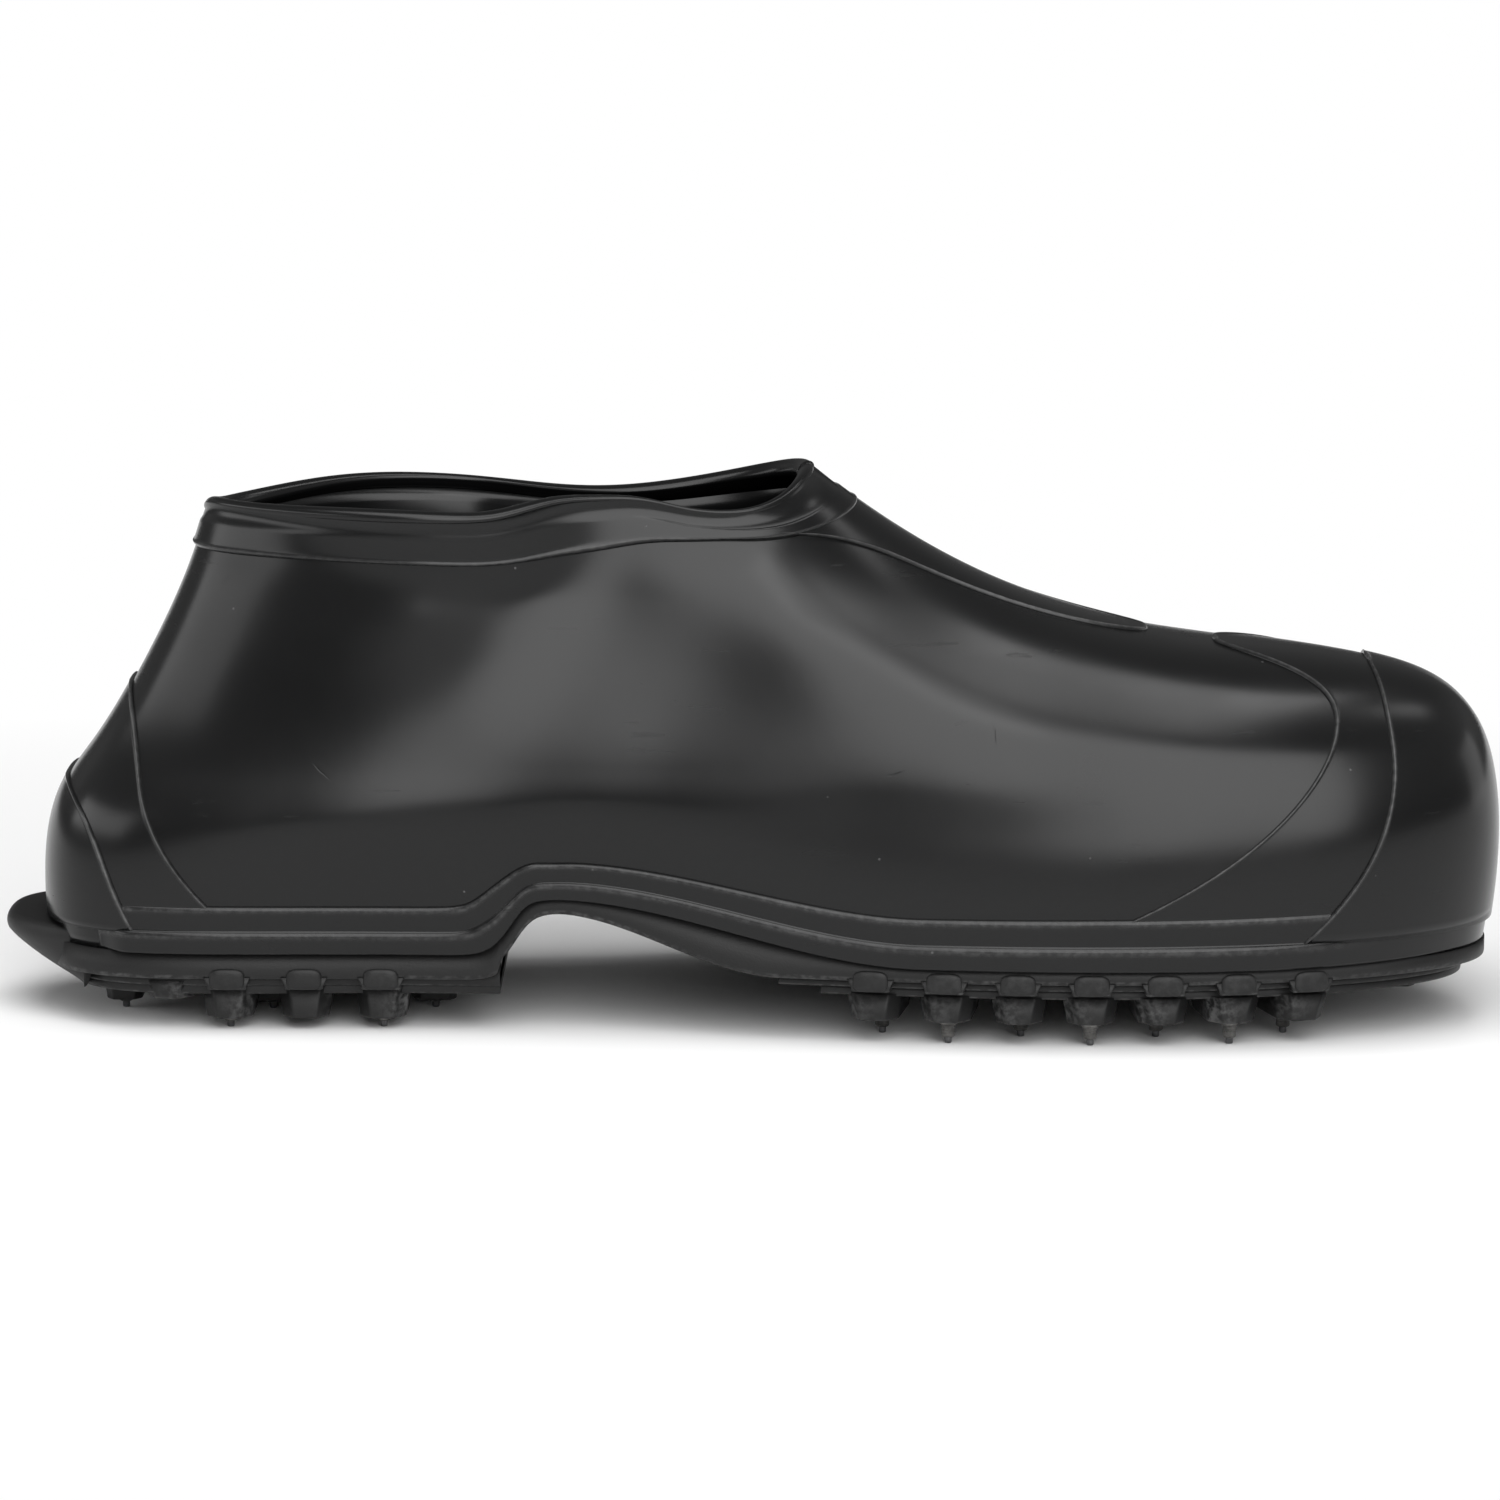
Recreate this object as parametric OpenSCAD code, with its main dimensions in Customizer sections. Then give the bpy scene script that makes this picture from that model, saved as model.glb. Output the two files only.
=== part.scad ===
// Stretch rubber overshoe with a studded ice sole, left foot.
// +X points to the toe, +Y to the outer side of the foot and +Z up. The stud tips stand on Z = 0
// and the origin lies under the middle of the overall length and width.

/* [Upper] */
// Length of the upper from heel to toe
shoe_l = 300; // [270:1:330]
// Width of the upper at the heel
heel_w = 74; // [66:1:84]
// Width of the upper at the waist
waist_w = 92; // [84:1:100]
// Width of the upper at the ball of the foot
ball_w = 117; // [108:1:126]
// Width of the upper across the toe
toe_w = 84; // [76:1:92]
// Height of the side rim above the ground
collar_h = 105.5; // [95:0.5:120]
// Thickness of the moulded wall
wall = 2.6; // [1.8:0.1:3.4]
// Depth by which each side is drawn in at the ankle
pinch_depth = 13.8; // [8:0.2:18]
// Sideways bend of the centre line towards the outer side
swing_out = 4.2; // [0:0.1:6]
// Shift of the toe tip towards the inner side
toe_in = 9; // [0:0.5:12]

/* [Plies] */
// Thickness of the toe, heel and instep plies
ply_t = 0.9; // [0.6:0.1:1.5]
// Thickness of the foxing at its lower step
foxing_t = 2.2; // [1.6:0.1:3]
// Thickness of the collar band
band_t = 1; // [0.7:0.1:1.5]
// Width of the rolled rim bead
bead_w = 4.6; // [4:0.1:6]
// Height of the rolled rim bead
bead_h = 3; // [2:0.1:3.4]
// Thickness of the insole ply
insole_t = 2; // [1:0.1:3]
// Bond line left between two vulcanised pieces
bond = 0.25; // [0.15:0.05:0.4]

/* [Sole] */
// Height of the seam between upper and outsole
seam_h = 17; // [15:0.5:20]
// Height of the underside of the outsole
welt_h = 13.6; // [12:0.1:14.5]
// Rise of the seam over the arch
arch_rise = 12; // [6:0.5:14]
// Rise of the underside below the arch
under_rise = 11.8; // [6:0.1:13]
// Length of the kick-off tab behind the heel
tab_l = 8; // [4:0.5:12]
// Width of the kick-off tab at its root
tab_w = 50; // [36:1:56]
// Height of the top of the kick-off tab
tab_h = 22.5; // [20:0.5:24]
// Height of the underside of the tread plates
plate_h = 10; // [9:0.1:11.5]
// Inset of the tread plates from the outsole edge
plate_inset = 3; // [2:0.1:5]

/* [Lugs] */
// Height of the forefoot lug faces above the ground
lug_h = 4.9; // [3.5:0.1:6]
// Height of the heel lug faces above the ground
heel_lug_h = 2.4; // [1.8:0.1:3.4]
// Width of a lug at its root
lug_w = 11; // [9:0.5:12.5]
// Depth of a forefoot lug from its outer face
fore_lug_d = 20; // [17:0.5:22]
// Depth of a heel lug from its outer face
heel_lug_d = 15; // [13:0.5:16]
// Draft of a lug on each side
lug_draft = 1; // [0.3:0.1:1.5]
// Inset of the lug faces from the outsole edge
lug_inset = 2; // [1:0.1:3]
// Corner cut of a lug towards the edge
lug_cut = 2.4; // [1:0.1:3.5]
// Number of lugs on each forefoot side
fore_lugs = 7; // [5:1:7]
// Width of the ledge tab above a lug
ledge_tab_w = 8; // [6:0.5:10]
// Drop of the ledge tab below the outsole edge
ledge_tab_drop = 2; // [1:0.1:2.5]
// Width of the boss on a ledge tab
boss_w = 5.8; // [4:0.1:6]
// Height of the boss on a ledge tab
boss_h = 2.9; // [2:0.1:3]
// Reach of the boss out of the outsole edge
boss_out = 0.8; // [0.4:0.1:1.2]

/* [Studs] */
// Diameter of the stud body
stud_d = 3; // [2.4:0.1:3.6]
// Diameter of the flange held in the rubber
flange_d = 6; // [5:0.1:7]
// Thickness of the flange
flange_t = 1.2; // [0.8:0.1:1.6]
// Diameter of the collar under the lug
stud_collar_d = 3.8; // [3.7:0.1:5]
// Diameter of the carbide pin
pin_d = 1.5; // [1.2:0.1:1.8]
// Bare length of the carbide pin
pin_tip = 1.3; // [0.8:0.1:1.8]
// Play between stud and rubber pocket
stud_play = 0.06; // [0.03:0.01:0.12]
// Distance of an outer stud from the lug face
stud_out = 5.5; // [5:0.5:7]
// Distance of an inner stud from the lug face
stud_in = 13.5; // [11:0.5:14.5]

/* [Hidden] */
overlap = 0.5;
heel_x = (tab_l - shoe_l) / 2;
wall_h = collar_h - seam_h;
mid_y = 3.2;
toe_bend = 0.686;
widths = [heel_w, waist_w, ball_w, toe_w] / 200;
stations = [0.10, 0.40, 0.70, 0.92];
bluntness = 0.36;

// Rails of the last from the seam to the rim. Each has its rear and front end in percent of the length,
// its height at the rear, sides and front in percent of the wall height, and its half widths at the
// heel, waist, ball and toe in percent of the widths above.
rails = [
    [0.4, 99.2, [0, 0, 0], [96, 93, 96, 93]],
    [0, 100, [15, 15, 18], [100, 98, 100, 100]],
    [0.6, 99.8, [32, 30.5, 40.5], [102, 100, 95, 98]],
    [2.9, 98, [41, 43, 54.3], [88.5, 100.5, 92, 84]],
    [5.4, 94, [54, 54, 62], [83, 97.5, 83, 69]],
    [7.6, 84, [68, 65.5, 66], [79, 93, 73.5, 57]],
    [9.2, 71, [79, 77, 70.3], [73, 89.5, 69, 52]],
    [10.5, 59, [90, 89, 89.2], [66, 82.5, 68.5, 60]],
    [11.4, 51.7, [100.6, 100.2, 111], [56.5, 83.5, 67, 71]]
];
spans = len(rails) - 3;

// Powers that keep the rise to the toe or the rim peak near the front end; the rim rises later on the inner side
rail_rise = 3;
inner_rise = 13;
outer_rise = 1.5;

// Angles of the meridians: 0 is the toe, 180 the heel, with closer steps over the ankle pinch and the
// heel breast
side_angles = [each [0:6:18], each [22:4:98], 101.5, each [104.5:1.5:116.5], each [121.5:5.5:176.5]];
meridians = concat(side_angles, [180], [for (i = [len(side_angles) - 1:-1:1]) 360 - side_angles[i]]);

// Places of the ply edges on the wall, as shares of the way from the seam to the rim
upper_top = 0.9795;
band_low = 0.935;
band_low_front = 0.966;
foxing_top = 0.046;
foxing_step = 0.016;
foxing_end = 157;
ply_gap = 0.006;
ply_tip = 0.996;

// Ply edge: top share, base angle, roundness, flare angle at the seam and its fall
toe_cap_edge = [0.706, 41, 2, 30, 0.11];
toe_guard_edge = [0.54, 31, 4, 16, 0.09];
counter_edge = [0.55, 30, 2, 16, 0.1];
heel_guard_edge = [0.25, 26, 2, 6, 0.05];
tongue_tip = 0.764;
tongue_angle = 20.5;
tongue_flare = 18;
second_seat = 2 * bond + ply_t;

// Arch: centre and softness of the heel breast, start and end of the fall to the forefoot, and the rise up to
// which the underside stays flat
breast_x = along(32.25);
arch_top_x = along(35.5);
arch_end_x = along(60.26);
under_breast_x = along(32.75);
under_top_x = along(35.17);
under_end_x = along(50.66);
breast_soft = 1.9;
breast_spread = 22;
under_flat = 0.03;
arch_fade = 0.35;
arch_fade_power = 1.5;

// Ankle pinch: place, reach, how it widens to the front lower down, where it starts on the wall, how far the
// rim dips with it and its limit as a share of the half width
pinch_x = along(43.1);
pinch_reach = 23;
pinch_widen = 10;
pinch_blend = 6;
pinch_low = 0.13;
pinch_dip = 0.1;
pinch_limit = 0.8;

// Slanting hollow behind the ankle: place, depth, length, width, slant and where it starts on the wall
hollow_x = along(35.4);
hollow_z = 87.6;
hollow_depth = 3.4;
hollow_run = 23.5;
hollow_width = 13.7;
hollow_turn = 63.4;
hollow_low = 0.2;

// Outsole edge: lip outside the seam line, how far the ledge tabs stand out of it, and room left for the heel
// above the kick-off tab
sole_lip = 0.4;
ledge_out = 0.25;
tab_room = 1.4;
ledge_d = 2.4;

// Lug rows
fore_x0 = along(56.79);
fore_pitch = 0.04934 * shoe_l;
heel_x0 = along(13.08);
heel_pitch = 0.05232 * shoe_l;
fore_xs = [for (i = [0:fore_lugs - 1]) fore_x0 + fore_pitch * i];
heel_xs = [for (i = [0:2]) heel_x0 + heel_pitch * i];
corner_x = along(8.77);
corner_lug_d = 12;
rear_x = along(5.3);
rear_y = 8;
rear_lug = [9.5, 12];
inner_xs = [along(15.56), along(21.19), along(26.82)];
inner_y = 10.5;
inner_lug = [11, 13];
bar_xs = [for (i = [0:fore_lugs - 2]) fore_x0 + fore_pitch * (i + 0.5)];
bar_lug = [8, 26];
toe_bar = [9, 30];
toe_bar_x = along(93.38);
bar_h = 6.5;
bar_cut = 1.5;
heel_rear_x = heel_x + 9.5;
heel_front_x = along(31.62);
fore_rear_x = along(50.6);
fore_step_x = along(53.48);
plate_step_h = 11.8;

// Studs: [x, side, distance from the outsole edge]
fore_studs = [for (side = [-1, 1], i = [0:fore_lugs - 1])
    [fore_xs[i], side, lug_inset + (i % 2 == 0 ? stud_in : stud_out)]];
fore_spots = [for (s = fore_studs) edge_spot(s[0], s[1], s[2])];
heel_spots = concat(
    [for (side = [-1, 1]) each [
        rear_spot(side),
        edge_spot(heel_xs[0], side, lug_inset + stud_out),
        edge_spot(heel_xs[2], side, lug_inset + stud_out)]],
    [for (i = [0:len(inner_xs) - 1]) [inner_xs[i], inner_stud_y(i)]]);
stud_spots = concat(fore_spots, heel_spots);
stud_n = len(stud_spots);

// Stud heights above the ground
collar_t = 0.9;
nose_h = pin_tip;
flange_h = lug_h + 2.2;
pin_seat_h = flange_h - 0.4;
nose_taper = 0.35;
waist = 0.1;

rubber = [0.13, 0.135, 0.14];
ply_rubber = [0.17, 0.175, 0.18];
sole_rubber = [0.09, 0.09, 0.095];
lining = [0.06, 0.06, 0.065];
steel = [0.62, 0.63, 0.65];
carbide = [0.36, 0.37, 0.39];

// Place at a share of the length from the heel, in percent
function along(share) = heel_x + shoe_l * share / 100;
function numbered(name, i) = str(name, i < 10 ? "_0" : "_", i);
function clamp(t) = min(max(t, 0), 1);
function smooth(t) = let (c = clamp(t)) c * c * (3 - 2 * c);

// Rounding of the two ends of a rail, 1 at mid length
function end_round(t) = pow(max(4 * t * (1 - t), 0), bluntness);

// Half width of a rail: a cubic through the four stations, rounded off at both ends
function half_width(shares, t) = end_round(t) * (
    let (w = [for (i = [0:3]) shares[i] * widths[i] / end_round(stations[i])])
    w * [for (i = [0:3]) lagrange(i, t)]);
function lagrange(i, t) = let (
        s = stations,
        f = [for (j = [0:3]) j == i ? 1 : (t - s[j]) / (s[i] - s[j])])
    f[0] * f[1] * f[2] * f[3];

// Centre line of the last, bent outwards at the ball and inwards at the toe
function swing(x) = let (t = clamp((x - heel_x) / shoe_l), toe = clamp((t - toe_bend) / (1 - toe_bend)))
    swing_out * sin(180 * t) - toe_in * toe * toe - mid_y;

function rail_point(k, a) = let (
        r = rails[k],
        t = (1 + cos(a)) / 2,
        x = heel_x + shoe_l * (r[0] + (r[1] - r[0]) * t) / 100,
        h = r[2],
        rise = rail_rise + (sin(a) > 0 ? outer_rise : inner_rise) * pow(k / (len(rails) - 1), 4),
        z = h[1] + (h[0] - h[1]) * pow(1 - t, 3) + (h[2] - h[1]) * pow(t, rise))
    [x, swing(x) + sign(sin(a)) * half_width(r[3], t), seam_h + wall_h * z / 100];

// Clamped cubic spline weights of the rails at share v
function knot(i) = clamp((i - 3) / spans);
function blend(i, d, v) = d == 0 ? (knot(i) <= v && v < knot(i + 1) ? 1 : 0) :
    let (p = knot(i + d) - knot(i), q = knot(i + d + 1) - knot(i + 1))
    (p > 0 ? (v - knot(i)) / p * blend(i, d - 1, v) : 0) +
    (q > 0 ? (knot(i + d + 1) - v) / q * blend(i + 1, d - 1, v) : 0);
function weights(v) = let (c = min(v, 1 - 1e-7)) [for (k = [0:len(rails) - 1]) blend(k, 3, c)];

// Steep rise at the heel breast that fades out towards the forefoot
function arch(x, breast, top, end, soft) =
    (1 - smooth((x - top) / (end - top))) / (1 + exp((breast - x) / soft));
function seam_lift(x, soft) = arch_rise * arch(x, breast_x, arch_top_x, arch_end_x, soft);
function seam_z(x) = seam_h + seam_lift(x, breast_soft);
function under_z(x) = welt_h + max(under_rise * arch(x, under_breast_x, under_top_x, under_end_x, breast_soft) -
    under_flat, 0);

// Slanting hollow behind the ankle, a bell along and across its own direction
function hollow(x, z) = let (
        dx = x - hollow_x,
        dz = z - hollow_z,
        run = (dx * cos(hollow_turn) + dz * sin(hollow_turn)) / hollow_run,
        cross_run = (dz * cos(hollow_turn) - dx * sin(hollow_turn)) / hollow_width)
    hollow_depth * exp(-(run * run + cross_run * cross_run) / 2);

// Arch lift low on the wall, the hollow and the ankle pinch high on it
function shaped(p, v, a) = let (
        lift = seam_lift(p.x, breast_soft + breast_spread * v) * pow(clamp(1 - v / arch_fade), arch_fade_power),
        fade = smooth((v - pinch_low) / (1 - pinch_low)),
        reach = pinch_reach + pinch_widen * (1 - fade) / (1 + exp((pinch_x - p.x) / pinch_blend)),
        away = (p.x - pinch_x) / reach,
        pinch = pinch_depth * fade * exp(-away * away / 2),
        half = abs(p.y - swing(p.x)),
        drawn = min(pinch + hollow(p.x, p.z + lift) * smooth(v / hollow_low), pinch_limit * half))
    [p.x, p.y - sign(sin(a)) * drawn, p.z + lift - pinch_dip * drawn];

// Outer skin of the upper at angle a and share v, and the same moved out by d
function skin(a, v) = shaped(weights(v) * [for (k = [0:len(rails) - 1]) rail_point(k, a)], v, a);
function unit(p) = p / norm(p);
function skin_normal(a, v) = let (dv = 0.004, lo = max(v - dv, 0), hi = min(v + dv, 1))
    unit(cross(skin(a + 0.5, v) - skin(a - 0.5, v), skin(a, hi) - skin(a, lo)));
function offset_skin(a, v, d) = skin(a, v) + d * skin_normal(a, v);

// Plan outline of the outsole and places measured inwards from it
function edge_half(x) = let (r = rails[0], share = (x - heel_x) / shoe_l * 100)
    half_width(r[3], clamp((share - r[0]) / (r[1] - r[0])));
function edge_y(x, side) = swing(x) + side * edge_half(x);
function edge_turn(x, side) = atan2(edge_y(x + 1, side) - edge_y(x - 1, side), 2);
function edge_spot(x, side, inset) = let (turn = edge_turn(x, side))
    [x + side * inset * sin(turn), edge_y(x, side) - side * inset * cos(turn)];
function rear_spot(side) = [rear_x, swing(rear_x) + side * rear_y];
function inner_stud_y(i) = swing(inner_xs[i]) + (i % 2 == 0 ? -inner_y : inner_y);
function outline(out) = [for (a = meridians) let (
        p = rail_point(0, a),
        d = rail_point(0, a + 0.5) - rail_point(0, a - 0.5),
        n = [d.y, -d.x] / norm([d.x, d.y]))
    [p.x + out * n.x, p.y + out * n.y]];

// Side stations of the sole: the meridians of the arch, then both ends
toe_flat = 8;
sole_xs = concat([heel_x - 2],
    [for (i = [len(side_angles) - 1:-1:0]) if (abs(side_angles[i] - 95) < 35) rail_point(0, side_angles[i]).x],
    [heel_x + shoe_l - toe_flat]);

// Solid swept through sections of equal length, each quad split along its shorter diagonal. A section
// runs up its outer row and down its inner row.
module swept(sections, closed = false) {
    n = len(sections);
    m = len(sections[0]);
    last = closed ? n : n - 1;
    end = (n - 1) * m;
    points = [for (s = sections, p = s) p];
    sides = [for (i = [0:last - 1], j = [0:m - 1]) let (
            a = i * m + j,
            b = i * m + (j + 1) % m,
            c = (i + 1) % n * m + (j + 1) % m,
            d = (i + 1) % n * m + j)
        each norm(points[a] - points[c]) < norm(points[b] - points[d])
            ? [[a, b, c], [a, c, d]]
            : [[a, b, d], [b, c, d]]];
    caps = closed ? [] : [for (j = [0:m / 2 - 2])
        each [[j, m - 2 - j, j + 1], [j, m - 1 - j, m - 2 - j],
              [end + j, end + j + 1, end + m - 2 - j], [end + j, end + m - 2 - j, end + m - 1 - j]]];
    polyhedron(points, concat(sides, caps));
}

// Ply laid on the upper between two edge angles, centred on the toe (0) or the heel (180)
module ply(centre, shares, edge_angles, across, seat) {
    rows = len(shares) - 1;
    swept([for (i = [0:across]) let (s = 2 * i / across - 1) concat(
        [for (j = [0:rows]) offset_skin(centre + s * edge_angles[j], shares[j], seat + ply_t)],
        [for (j = [rows:-1:0]) offset_skin(centre + s * edge_angles[j], shares[j], seat)])]);
}

// Half angle of a toe or heel ply at share v
function ply_angle(edge, v) =
    edge[1] * sqrt(max(1 - pow(v / edge[0], edge[2]), 0)) + edge[3] * exp(-v / edge[4]);

// Toe or heel ply between the foxing and its own rounded edge
module capped_ply(centre, edge, rows, across, seat) {
    low = foxing_top + ply_gap;
    top = ply_tip * edge[0];
    shares = [for (j = [0:rows]) low + (top - low) * (j / rows + sin(90 * j / rows)) / 2];
    ply(centre, shares, [for (v = shares) ply_angle(edge, v)], across, seat);
}

// Prism along Y from a side outline and prism along Z from a plan outline
module side_prism(points) {
    rotate([90, 0, 0]) linear_extrude(3 * ball_w, center = true) polygon(points);
}

module plan_prism(points, low, high) {
    translate([0, 0, low]) linear_extrude(high - low) polygon(points);
}

// Moulded wall from the seam to just under the rim
module upper() {
    shares = [0, 0.025, 0.07, 0.14, 0.24, 0.37, each [0.5:0.04:0.94], upper_top];
    rows = len(shares) - 1;
    color(rubber) swept([for (a = meridians) concat(
        [for (j = [0:rows]) offset_skin(a, shares[j], 0)],
        [for (j = [rows:-1:0]) offset_skin(a, shares[j], -wall)])], true);
}

// Band round the opening with its rolled rim bead
module collar_band() {
    bead_v = 0.9915;
    seat = upper_top + 0.0015;
    lip = 0.003;
    thin = 0.6;
    color(ply_rubber) swept([for (a = meridians) let (
            turn = abs(a > 180 ? a - 360 : a),
            low = band_low_front + (band_low - band_low_front) * smooth((turn - 50) / 45),
            half = [bead_w, bead_h] / 2,
            mid = offset_skin(a, bead_v, -wall / 2),
            n = skin_normal(a, bead_v),
            u = unit(skin(a, 1) - skin(a, 0.98)))
        concat(
            [offset_skin(a, low, bond), offset_skin(a, low + lip, bond + band_t),
             offset_skin(a, seat - lip, bond + band_t * thin)],
            [for (b = [-20:32:204]) mid + half.x * cos(b) * n + half.y * sin(b) * u],
            [offset_skin(a, seat, -wall), offset_skin(a, seat, bond),
             offset_skin(a, (low + seat) / 2, bond)])], true);
}

// Reinforcing tongue from the collar band down the instep
module instep_tongue() {
    rows = 10;
    top = band_low_front - 0.002;
    low = tongue_tip + (top - tongue_tip) * (1 - ply_tip);
    flare_v = 0.97;
    flare_fall = 0.017;
    shares = [for (j = [0:rows]) low + (top - low) * (1 - cos(180 * j / rows)) / 2];
    angles = [for (v = shares)
        tongue_angle * sqrt(1 - pow((1 - v) / (1 - tongue_tip), 3)) +
        tongue_flare * exp((v - flare_v) / flare_fall)];
    color(ply_rubber) ply(0, shares, angles, 14, bond);
}

// Toe ply whose edge bows forward on both sides
module toe_cap() {
    color(ply_rubber) capped_ply(0, toe_cap_edge, 13, 20, bond);
}

// Second, smaller toe ply on top of the toe cap
module toe_guard() {
    color(ply_rubber) capped_ply(0, toe_guard_edge, 10, 18, second_seat);
}

// Ply round the back of the heel
module heel_counter() {
    color(ply_rubber) capped_ply(180, counter_edge, 8, 16, bond);
}

// Second, smaller heel ply on top of the counter
module heel_guard() {
    color(ply_rubber) capped_ply(180, heel_guard_edge, 5, 14, second_seat);
}

// Stepped strip round the seam, open behind the kick-off tab
module foxing() {
    slope = 0.003;
    shares = [0.001, foxing_step - slope, foxing_step, foxing_top - 2 * slope, foxing_top];
    thick = foxing_t * [1, 1, 0.6, 0.5, 0.1];
    angles = [for (a = meridians) let (turn = a > 180 ? a - 360 : a) if (abs(turn) < foxing_end) turn];
    ends = concat([-foxing_end],
        [for (a = angles) if (a < 0) a], [for (a = angles) if (a >= 0) a], [foxing_end]);
    color(rubber) swept([for (a = ends) concat(
        [for (j = [0:4]) offset_skin(a, shares[j], bond + thick[j])],
        [for (j = [4:-1:0]) offset_skin(a, shares[j], bond)])]);
}

// Lining ply that lies on the outsole inside the upper
module insole() {
    base = [for (x = sole_xs) [x, seam_z(x) + bond / 2]];
    top = [for (i = [len(sole_xs) - 1:-1:0]) [sole_xs[i], seam_z(sole_xs[i]) + bond / 2 + insole_t]];
    color(lining) intersection() {
        side_prism(concat(base, top));
        plan_prism(outline(-wall - 2 * bond), seam_h - 1, seam_h + arch_rise + 2 * insole_t);
    }
}

// Outsole slab that follows the arch, with its ledge tabs and the kick-off tab behind the heel
module outsole() {
    toe_x = heel_x + shoe_l;
    toe_lift = 1.6;
    top = concat([for (x = sole_xs) [x, seam_z(x) - bond / 2]], [[toe_x, seam_h - bond / 2]]);
    under = concat([[toe_x, welt_h + toe_lift]],
        [for (i = [len(sole_xs) - 1:-1:0]) [sole_xs[i], under_z(sole_xs[i])]]);
    color(sole_rubber) union() {
        intersection() {
            side_prism(concat(top, under));
            plan_prism(outline(sole_lip), welt_h - 1, seam_h + arch_rise + 1);
        }
        for (side = [-1, 1], x = concat(fore_xs, heel_xs)) ledge_tab(x, side);
        kick_tab();
    }
}

// Tapered tab under the outsole edge with a boss on its face
module ledge_tab(x, side) {
    taper = 0.8;
    root = ledge_tab_w / 2 + taper;
    tip = ledge_tab_w / 2;
    at_edge(x, side, -sole_lip - ledge_out) {
        rotate([-90, 0, 0]) linear_extrude(ledge_d) polygon([
            [-root, -welt_h - overlap], [root, -welt_h - overlap],
            [tip, ledge_tab_drop - welt_h], [-tip, ledge_tab_drop - welt_h]]);
        translate([-boss_w / 2, -boss_out, welt_h - ledge_tab_drop + overlap / 2])
            cube([boss_w, boss_out + overlap, boss_h]);
    }
}

// Wedge behind the heel that the other foot holds down while the overshoe is pulled off. Its underside
// bows down to the tread.
module kick_tab() {
    tip_x = heel_x - tab_l;
    root_x = heel_rear_x - bond;
    toe_r = 9;
    tip_half = tab_w / 2 - 5;
    nose_r = 1.9;
    nose_end = 230;
    bow = 0.65;
    foot_h = plate_h + 0.6;
    end = [tip_x + nose_r * (1 + cos(nose_end)), tab_h + nose_r * (sin(nose_end) - 1)];
    profile = concat([[root_x, foot_h], [root_x, tab_h]],
        [for (b = [90:20:nose_end]) [tip_x + nose_r * (1 + cos(b)), tab_h + nose_r * (sin(b) - 1)]],
        [for (w = [1 / 8:1 / 8:7 / 8]) [end.x + (root_x - end.x) * w, end.y + (foot_h - end.y) * pow(sin(90 * w), bow)]]);
    plan = concat([[root_x, -tab_w / 2], [root_x, tab_w / 2]],
        [for (b = [60:15:180]) [tip_x + toe_r * (1 + cos(b)), tip_half + toe_r * (sin(b) - 1)]],
        [for (b = [180:15:300]) [tip_x + toe_r * (1 + cos(b)), toe_r * (1 + sin(b)) - tip_half]]);
    difference() {
        intersection() {
            side_prism(profile);
            translate([0, swing(heel_x), 0]) plan_prism(plan, foot_h, tab_h);
        }
        plan_prism(outline(tab_room), seam_h - bond / 2, tab_h + 1);
    }
}

// Drafted block with its outer corners cut, outer face on y = 0 and body towards +y
module lug_block(w, d, low, high, cut) {
    a = w / 2;
    b = a - lug_draft;
    intersection() {
        rotate([90, 0, 0]) linear_extrude(4 * d, center = true)
            polygon([[-b, low], [b, low], [a, high], [-a, high]]);
        rotate([90, 0, 90]) linear_extrude(2 * w, center = true)
            polygon([[lug_draft, low], [d - lug_draft, low], [d, high], [0, high]]);
        plan_prism([[cut - a, 0], [a - cut, 0], [a, cut * 1.4], [a, d], [-a, d], [-a, cut * 1.4]], low, high);
    }
}

// Places a child at a station of the outsole edge, +y pointing inwards
module at_edge(x, side, inset) {
    p = edge_spot(x, side, inset);
    translate([p.x, p.y, 0]) rotate(edge_turn(x, side)) mirror([0, side > 0 ? 1 : 0, 0]) children();
}

// Lug at the edge of the tread
module edge_lug(x, side, d, low) {
    at_edge(x, side, lug_inset) lug_block(lug_w, d, low, plate_h + overlap, lug_cut);
}

// Free-standing lug centred on a point
module centre_lug(p, size, low) {
    translate([p.x, p.y - size.y / 2, 0]) lug_block(size.x, size.y, low, plate_h + overlap, bar_cut);
}

// Pocket that holds a stud by its flange. In a heel lug it also takes in the collar.
module stud_pocket(p) {
    c = stud_collar_d / 2 + stud_play;
    r = stud_d / 2 + stud_play;
    f = flange_d / 2 + stud_play;
    translate([p.x, p.y, 0]) rotate_extrude($fn = 32) polygon([
        [0, heel_lug_h - 1], [c, heel_lug_h - 1], [c, lug_h], [r, lug_h],
        [r, flange_h - stud_play], [f, flange_h - stud_play],
        [f, flange_h + flange_t + stud_play], [0, flange_h + flange_t + stud_play]]);
}

// Tread plate between two stations, in two tiers
module tread_plate(rear, front, rear_step) {
    tiers = [
        [plate_inset, plate_step_h - overlap / 2, welt_h, rear],
        [plate_inset + 1, plate_h, plate_step_h, rear_step]];
    for (t = tiers) intersection() {
        plan_prism(outline(-t[0]), t[1], t[2]);
        translate([t[3], -ball_w, 0]) cube([front - t[3], 2 * ball_w, 3 * welt_h]);
    }
}

module forefoot_tread() {
    color(sole_rubber) difference() {
        union() {
            tread_plate(fore_rear_x, heel_x + shoe_l, fore_step_x);
            for (side = [-1, 1], x = fore_xs) edge_lug(x, side, fore_lug_d, lug_h);
            for (x = bar_xs) centre_lug([x, swing(x)], bar_lug, bar_h);
            centre_lug([toe_bar_x, swing(toe_bar_x)], toe_bar, bar_h);
        }
        for (p = fore_spots) stud_pocket(p);
    }
}

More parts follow.
